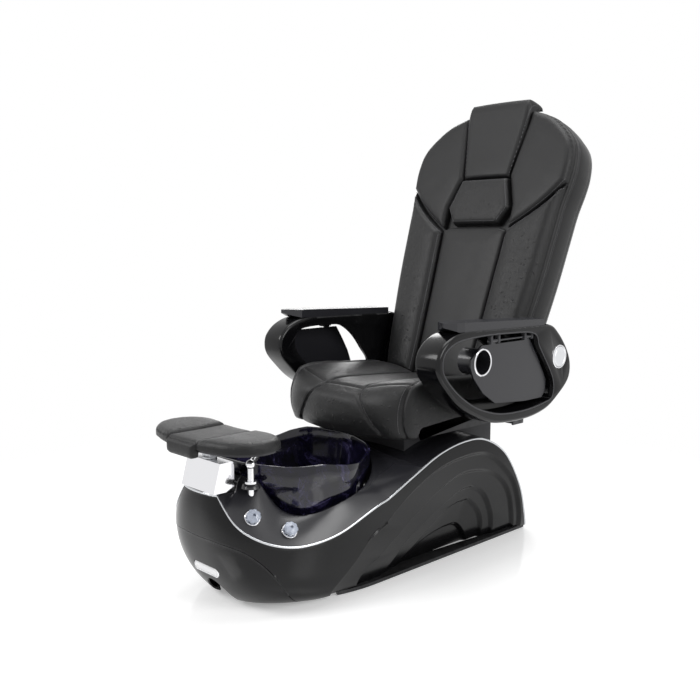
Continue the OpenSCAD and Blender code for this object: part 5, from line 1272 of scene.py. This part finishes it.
@dataclass
class Seat:
    """Seat cushion with a dished top, panel seams and side boxing."""

    half_w: float = 270
    front_y: float = -165
    top_z: float = 590
    under_z: float = 412
    pan_top: float = 432.3
    rear_y: float = 322
    roll: float = 20

    def profile(self, t: float) -> Array:
        """Side profile at t from -1 to 1 across the seat, as (y, z)."""
        e = abs(t) ** 2.5
        f, top = self.front_y + 62 * e, self.top_z - 34 * (1 - t * t)
        u, p, rise = self.under_z + 6 * e, self.pan_top, 34 * e
        return np.array([[f + 30, u], [f + 8, u + 22], [f, u + 62], [f + 6, u + 108], [f + 34, top - 16],
                         [f + 74, top - 2], [f + 130, top], [120, top - 8], [240, top - 16],
                         [self.rear_y - 14, top - 24],
                         [self.rear_y, top - 44], [self.rear_y, p + 16 + rise], [self.rear_y - 14, p + rise / 3],
                         [100, p + rise / 4], [20, p], [-46, p], [-46, u + 4]])

    def seam_x(self, s: float) -> tuple[float, float]:
        """Half widths of the two panel seams at place s along the profile."""
        inner = float(np.interp(s, [0, 1, 2, 3, 4, 5, 9, 10], [182, 172, 140, 108, 86, 79, 92, 94]))
        outer = float(np.interp(s, [0, 4, 5, 10], [246, 246, 244, 250]))
        return inner, outer

    def build(self) -> None:
        """Builds the cushion and its stitching."""
        steps = 150
        s = np.linspace(0, 17, steps + 1)[:-1]
        bend = np.linspace(-1, 1, 181)
        xs = self.half_w * np.sign(bend) * (1 - (1 - np.abs(bend)) ** 1.15)
        rows = []
        for x in xs:
            t = x / self.half_w
            loop = spline(self.profile(t), s, closed=True)
            over = max(abs(x) - (self.half_w - self.roll), 0) / self.roll
            loop = grow(loop, -self.roll * (1 - math.sqrt(max(1 - over * over, 0))) * 0.9)
            out = loop_normals(loop)
            shift = np.zeros(steps)
            for k in range(steps):
                if s[k] > 11:
                    continue
                inner, outer = self.seam_x(s[k])
                fade = min(1, s[k] / 0.6, max((11 - s[k]) / 1.0, 0))
                ax = abs(x)
                groove = 6.5 * math.exp(-((ax - inner) / 5.5) ** 2) + 4.5 * math.exp(-((ax - outer) / 5.0) ** 2)
                if ax < inner:
                    puff = 6 * (1 - (ax / inner) ** 2)
                elif ax < outer:
                    m = (ax - inner) / (outer - inner)
                    puff = 9 * 4 * m * (1 - m)
                else:
                    puff = 1.5
                front_seam = 5 * math.exp(-((s[k] - 4.55) / 0.10) ** 2) if ax < outer else 0
                shift[k] = (puff - groove - front_seam) * fade + 0.9 * noise.noise(Vector((x / 45, s[k] * 2.2, 3.0)))
            loop = loop + out * shift[:, None]
            rows.append(np.c_[np.full(steps, x), loop])
        grid = np.array(rows)
        n, m = grid.shape[:2]
        seat = new_object("seat_upholstery", grid.reshape(-1, 3) * MM, capped_faces(n, m), 60)
        CHAIR.place(seat, "seat", Paint.QUILL, "grain_leather", replaces=["seat_cushion"], fill=0.85)
        self.stitches(grid, s, xs)

    def stitches(self, grid: Array, s: Array, xs: Array) -> None:
        """Stitches beside the panel seams."""
        for name, pick, shift in (("inner", 0, 9.0), ("outer", 1, -9.0)):
            for side, tag in ((1, "left"), (-1, "right")):
                path = []
                for k in np.flatnonzero((s > 0.8) & (s < 10)):
                    x = side * (self.seam_x(s[k])[pick] + shift)
                    path.append([x, *[np.interp(x, xs, grid[:, k, d]) for d in (1, 2)]])
                path = even(np.array(path), 400)
                verts, faces = [], []
                for a in range(2, 396, 5):
                    p, q = path[a], path[a + 3]
                    across = np.array([1.0, 0, 0])
                    up = unit(np.cross(across, q - p))
                    centres = [p + (q - p) * share - up * lift
                               for share, lift in ((0, -0.4), (0.25, 0.4), (0.75, 0.4), (1, -0.4))]
                    add_stitch(verts, faces, centres, across, up, 0.6)
                CHAIR.place(new_object(f"seat_stitch_{name}_{tag}", np.array(verts) * MM, faces, 80), "seat",
                            Paint.THREAD, "black_leather")


@dataclass
class FootRest:
    """Three footrest pads; the middle one wraps down over the front edge."""

    front: list = field(default_factory=lambda: [
        [0, -704], [62, -702], [110, -694], [165, -676], [205, -642], [222, -600]])
    rear: list = field(default_factory=lambda: [
        [222, -600], [218, -556], [190, -520], [140, -502], [70, -508], [0, -512]])
    split: float = 66
    base: float = 458.3
    thick: float = 26

    def build(self) -> None:
        """Builds the three pads."""
        front = spline(self.front, np.linspace(0, 5, 60))
        rear = spline(self.rear, np.linspace(0, 5, 60))
        cut_x = self.split + 2
        side = np.vstack([front[front[:, 0] > cut_x], rear[rear[:, 0] > cut_x],
                          [[cut_x + 3, -512], [cut_x - 1, -600], [cut_x, -700]]])
        for sign, name in ((1, "left"), (-1, "right")):
            outline = even(side if sign > 0 else mirrored(side), 160, closed=True)
            pad = Pad(f"foot_pad_{name}", outline, self.base, self.base + 11, self.base + 24, flat_up, roll=16,
                      crown=7, belly=55, seed=12 + sign)
            CHAIR.place(pad.mesh(), "footrest", Paint.QUILL, "grain_leather",
                        replaces=[f"footrest_pad_{name}"], fill=0.8)
        x = self.split
        seam = [[x, -698], [x - 2, -600], [x + 3, -512]]
        mid = np.vstack([front[front[:, 0] < x - 1], seam, rear[rear[:, 0] < x]])
        outline = np.vstack([mid, mirrored(mid)])
        outline = even(outline[np.r_[True, np.linalg.norm(np.diff(outline, axis=0), axis=1) > 0.5]], 180, closed=True)
        pad = Pad("foot_pad_middle", outline, self.base, self.base + 9, self.base + 20, flat_up, roll=14, crown=4,
                  belly=50, seed=15)
        CHAIR.place(pad.mesh(), "footrest", Paint.SMOOTH, "black_leather", replaces=["footrest_pad_middle"], fill=0.7)
        nose = np.array([[60, 436], [63, 450], [63, 472], [-63, 472], [-63, 450], [-60, 436], [-48, 431],
                         [48, 431]], float)
        lip = Pad("foot_pad_nose", even(nose, 120, closed=True), 690, 700, 710, facing_front, roll=9, crown=3, belly=30,
                  seed=17, cell=5)
        CHAIR.place(lip.mesh(), "footrest", Paint.SMOOTH, "black_leather", fill=0.6)


# ------------------------------------------------------------------ arms


class Side(Enum):
    """Which side of the chair, as the sitter has it."""

    LEFT = 1
    RIGHT = -1


@dataclass
class ArmRest:
    """Ring-shaped arm with a recess, a window and its small fittings."""

    side: Side
    in_x: float = 295
    out_x: float = 385
    wall: float = 12
    round: float = 11
    outline: list = field(default_factory=lambda: [
        [-121, 645], [-112, 681], [-72, 716], [-5, 736], [120, 738], [300, 734], [425, 730], [478, 702], [530, 645],
        [553, 592], [542, 540], [480, 491], [410, 457], [300, 442], [150, 451], [44, 489], [-26, 528], [-77, 574],
        [-111, 612]])
    recess: list = field(default_factory=lambda: [
        [-98, 646], [-86, 682], [-35, 707], [60, 716], [200, 716], [335, 706], [368, 660], [442, 560], [446, 500],
        [400, 484], [300, 474], [180, 478], [87, 500], [21, 529], [-42, 572], [-86, 616]])
    window: list = field(default_factory=lambda: [
        [-57, 663], [-38, 693], [10, 703], [100, 704], [160, 697], [215, 660], [260, 606], [290, 560], [250, 520],
        [150, 512], [60, 535], [0, 575], [-45, 620]])
    disc: tuple = (482.0, 622.0)
    disc_well_r: float = 35.5
    cup: tuple = (99.0, 638.0)
    pivot: tuple = (420.0, 600.0)

    @property
    def tag(self) -> str:
        """The side's name."""
        return self.side.name.lower()

    def place(self, p: Array) -> Array:
        """Turns (y, z, outward x) into the row frame on this arm's side."""
        return np.c_[p[:, 2] * self.side.value, p[:, 0], p[:, 1]]

    def dress(self, obj: bpy.types.Object, finish: Finish, slot: str, **more: object) -> bpy.types.Object:
        """Places a piece on this arm."""
        return CHAIR.place(obj, f"arm_{self.tag}", finish, slot, **more)

    def build(self) -> None:
        """Builds the shell and its fittings."""
        self.shell()
        self.fittings()

    def shell(self) -> None:
        """Arm ring with its recess and window."""
        loop = spline(self.outline, np.linspace(0, len(self.outline), 241)[:-1], closed=True)
        loop = even(loop, 240, closed=True)
        turn = [(math.sin(a), self.in_x + self.round * (1 - math.cos(a))) for a in np.linspace(0, math.pi / 2, 6)]
        turn += [(math.cos(a), self.out_x - self.round * (1 - math.sin(a))) for a in np.linspace(0, math.pi / 2, 8)]
        rings = [np.c_[grow(loop, -self.round * (1 - full)), np.full(240, x)] for full, x in turn]
        grid = np.array(rings)
        n, m = grid.shape[:2]
        arm = new_object(f"arm_ring_{self.tag}", self.place(grid.reshape(-1, 3)) * MM, capped_faces(n, m), 40)
        hollow = spline(self.recess, np.linspace(0, len(self.recess), 161)[:-1], closed=True)
        cut(arm, prism("recess_tool", hollow, self.in_x + self.wall, self.out_x + 10, self.place))
        hole = spline(self.window, np.linspace(0, len(self.window), 131)[:-1], closed=True)
        cut(arm, prism("window_tool", hole, self.in_x - 5, self.in_x + self.wall + 5, self.place))
        flat = np.array([[-22, 735], [422, 728], [422, 800], [-22, 800]], float)
        cut(arm, prism("top_tool", flat, self.in_x - 5, self.out_x + 5, self.place))
        if self.side is Side.LEFT:
            a = np.linspace(0, 2 * math.pi, 65)[:-1]
            well = np.array(self.disc) + self.disc_well_r * np.c_[np.cos(a), np.sin(a)]
            cut(arm, prism("disc_tool", well, self.out_x - 9, self.out_x + 20, self.place))
        rounded(arm, 1.6, 2, 40)
        shade(arm, 35)
        self.dress(arm, Paint.GLOSS_ARM, "gloss_black", replaces=[f"arm_shell_{self.tag}"])
        lip = grow(hollow, 0.3)
        face = np.array([np.c_[grow(lip, g), np.full(len(lip), x)] for g, x in
                         ((0.2, 379), (0.2, 385.3), (1.2, 386.2), (3.2, 386.2), (4.4, 385.2), (4.4, 379))])
        rim = grid_object(f"recess_rim_{self.tag}", self.place(face.reshape(-1, 3)).reshape(face.shape),
                          wrap_rows=True, wrap_cols=True, smooth=40)
        self.dress(rim, Paint.SATIN, "satin_black")

    def fittings(self) -> None:
        """Pivot boss, hinge lugs, and on the left the cup ring and the disc."""
        turned = [[0, 307], [18, 307], [18, 339], [16.5, 341], [10.5, 341], [10.5, 335], [0, 335]]
        boss = lathe(f"pivot_boss_{self.tag}", turned, (0, *self.pivot), (self.side.value, 0, 0))
        self.dress(boss, Paint.SATIN, "satin_black")
        for k, y in enumerate((150, 320) if self.side is Side.LEFT else (150,)):
            for e in (-1, 1):
                mid = y + e * 18
                block = np.array([[mid - 4.8, 691], [mid + 4.8, 691], [mid + 4.8, 716], [mid - 4.8, 716]], float)
                name = f"hinge_lug_{self.tag}_{k}_{'a' if e < 0 else 'b'}"
                lug = prism(name, block, 364.2, 377.8, self.place)
                self.dress(rounded(lug, 1), Paint.SATIN, "satin_black")
        if self.side is Side.LEFT:
            y, z = self.cup
            turned = [[35.9, 366], [35.9, 371.4], [37, 372.6], [40, 372.6], [41.6, 371.2], [41.8, 368.1],
                      [39.1, 368.1], [39.1, 366]]
            ring = lathe("cup_ring", turned, (0, y, z), (1, 0, 0), 72)
            CHAIR.place(ring, "tray_left", Paint.CHROME, "mirror_chrome")
            y, z = self.disc
            turned = [[34.2, 377], [34.2, 385.8], [35, 386.8], [37.4, 386.8], [38.4, 385.4], [38.4, 384.9],
                      [35.4, 384.9], [35.4, 377]]
            hoop = lathe("disc_bezel", turned, (0, y, z), (1, 0, 0), 72)
            self.dress(hoop, Paint.CHROME, "mirror_chrome")
            disc = lathe("rocker_disc", [[0, 379.2], [32.9, 379.2], [33.2, 385.9], [32.5, 386.9], [29.5, 387],
                                         [28.6, 386.3], [27.6, 386.3], [26.6, 386.9], [14, 386.0], [0, 385.4]],
                         (0, y, z), (1, 0, 0), 96, 25)
            CHAIR.place(disc, "seat_control", Paint.SILVER, "control_silver", replaces=["control_rocker"])


# ------------------------------------------------------------------ stage


def dress_nodes() -> None:
    """Gives every CAD node that still shows its finish."""
    for name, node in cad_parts.items():
        if node.hide_render:
            continue
        slot = (node.data.materials[0].name if node.data.materials else "satin_black").split(".")[0]
        finish = Paint.BY_SLOT.get(slot, Paint.SATIN)
        for k in range(max(1, len(node.data.materials))):
            if k < len(node.material_slots):
                node.material_slots[k].material = finish.material()
            else:
                node.data.materials.append(finish.material())
        LOG.info("node  %-24s %s", name, finish.name)


def shown_ray(n: Nodes) -> bpy.types.NodeSocket:
    """1 on camera, glossy and transmission rays."""
    ray = n.add("LightPath")
    some = n.math("MAXIMUM", ray.outputs["Is Camera Ray"], ray.outputs["Is Glossy Ray"])
    return n.math("MAXIMUM", some, ray.outputs["Is Transmission Ray"])


@dataclass
class Studio:
    """Camera, lamps, floor and white surroundings."""

    eye: tuple = (1.9177, -1.937, 0.9924)
    tilt: float = 82.847
    turn: float = 46.0
    lens: float = 44.77
    ambient: float = 0.36

    def build(self) -> None:
        """Sets the studio up."""
        scene = bpy.context.scene
        cam = bpy.data.cameras.new("camera")
        cam.lens, cam.sensor_width = self.lens, 36.0
        obj = bpy.data.objects.new("camera", cam)
        obj.location = self.eye
        obj.rotation_euler = (math.radians(self.tilt), 0, math.radians(self.turn))
        scene.collection.objects.link(obj)
        scene.camera = obj
        scene.view_settings.view_transform = "Standard"
        self.world()
        self.floor()
        self.lamp("key", (-1.6, -3.2, 3.0), (0, -0.1, 0.7), 2.2, 1.6, 95)
        self.lamp("side", (3.6, 0.4, 2.4), (0.1, 0, 0.6), 1.4, 2.4, 60)
        self.lamp("top", (0.2, 0.4, 3.6), (0, 0, 0.6), 2.0, 2.0, 55)
        self.lamp("back", (-2.6, 2.6, 2.4), (0, 0.2, 0.9), 1.2, 2.0, 40)

    def lamp(self, name: str, at: Sequence[float], to: Sequence[float], wide: float, tall: float, watts: float) -> None:
        """One soft rectangular lamp.

        Args:
            name: the lamp's name.
            at: its place in metres.
            to: the point it faces.
            wide: width in metres.
            tall: height in metres.
            watts: its power.
        """
        data = bpy.data.lights.new(name, "AREA")
        data.shape, data.size, data.size_y, data.energy = "RECTANGLE", wide, tall, watts
        lamp = bpy.data.objects.new(name, data)
        lamp.location = at
        lamp.rotation_euler = (Vector(to) - Vector(at)).to_track_quat("-Z", "Y").to_euler()
        bpy.context.scene.collection.objects.link(lamp)

    def world(self) -> None:
        """White surroundings for what is seen or mirrored, softer light for the rest."""
        world = bpy.data.worlds.new("studio")
        bpy.context.scene.world = world
        world.use_nodes = True
        world.node_tree.nodes.clear()
        n = Nodes(world.node_tree)
        seen = n.add("Background", {"Color": (1, 1, 1, 1), "Strength": 1.0})
        light = n.add("Background", {"Color": (1, 1, 1, 1), "Strength": self.ambient})
        mix = n.add("MixShader", {0: shown_ray(n), 1: light.outputs[0], 2: seen.outputs[0]})
        n.add("OutputWorld", {"Surface": mix.outputs[0]})

    def floor(self) -> None:
        """White floor that takes a soft shadow and a faint mirror image, and fades out far away."""
        mat = bpy.data.materials.new("studio_floor")
        mat.use_nodes = True
        mat.node_tree.nodes.clear()
        n = Nodes(mat.node_tree)
        place = n.add("TexCoord").outputs["Object"]
        far = n.add("VectorMath", {0: place}, operation="LENGTH").outputs["Value"]
        fade = n.add("MapRange", {"Value": far, "From Min": 1.1, "From Max": 2.0},
                     interpolation_type="SMOOTHSTEP").outputs[0]
        matte = n.add("BsdfDiffuse", {"Color": (1, 1, 1, 1)})
        gloss = n.add("BsdfGlossy", {"Color": (1, 1, 1, 1), "Roughness": 0.12})
        body = n.add("MixShader", {0: 0.14, 1: matte.outputs[0], 2: gloss.outputs[0]})
        glow = n.add("Emission", {"Color": (1, 1, 1, 1), "Strength": n.math("MULTIPLY", shown_ray(n), 0.3)})
        lit = n.add("AddShader", {0: body.outputs[0], 1: glow.outputs[0]})
        clear = n.add("BsdfTransparent", {"Color": (1, 1, 1, 1)})
        whole = n.add("MixShader", {0: fade, 1: lit.outputs[0], 2: clear.outputs[0]})
        n.add("OutputMaterial", {"Surface": whole.outputs[0]})
        size = 2.6
        floor = new_object("studio_floor", [(-size, -size, 0), (size, -size, 0), (size, size, 0), (-size, size, 0)],
                           [(0, 1, 2, 3)])
        floor.data.materials.append(mat)


def main() -> None:
    """Builds the chair over its CAD frame, then the studio."""
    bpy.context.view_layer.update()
    Base().build()
    Seat().build()
    BackRest().build()
    FootRest().build()
    for side in Side:
        ArmRest(side).build()
    dress_nodes()
    Studio().build()
    LOG.info("%d pieces built", CHAIR.count)


if __name__ == "__main__":
    main()
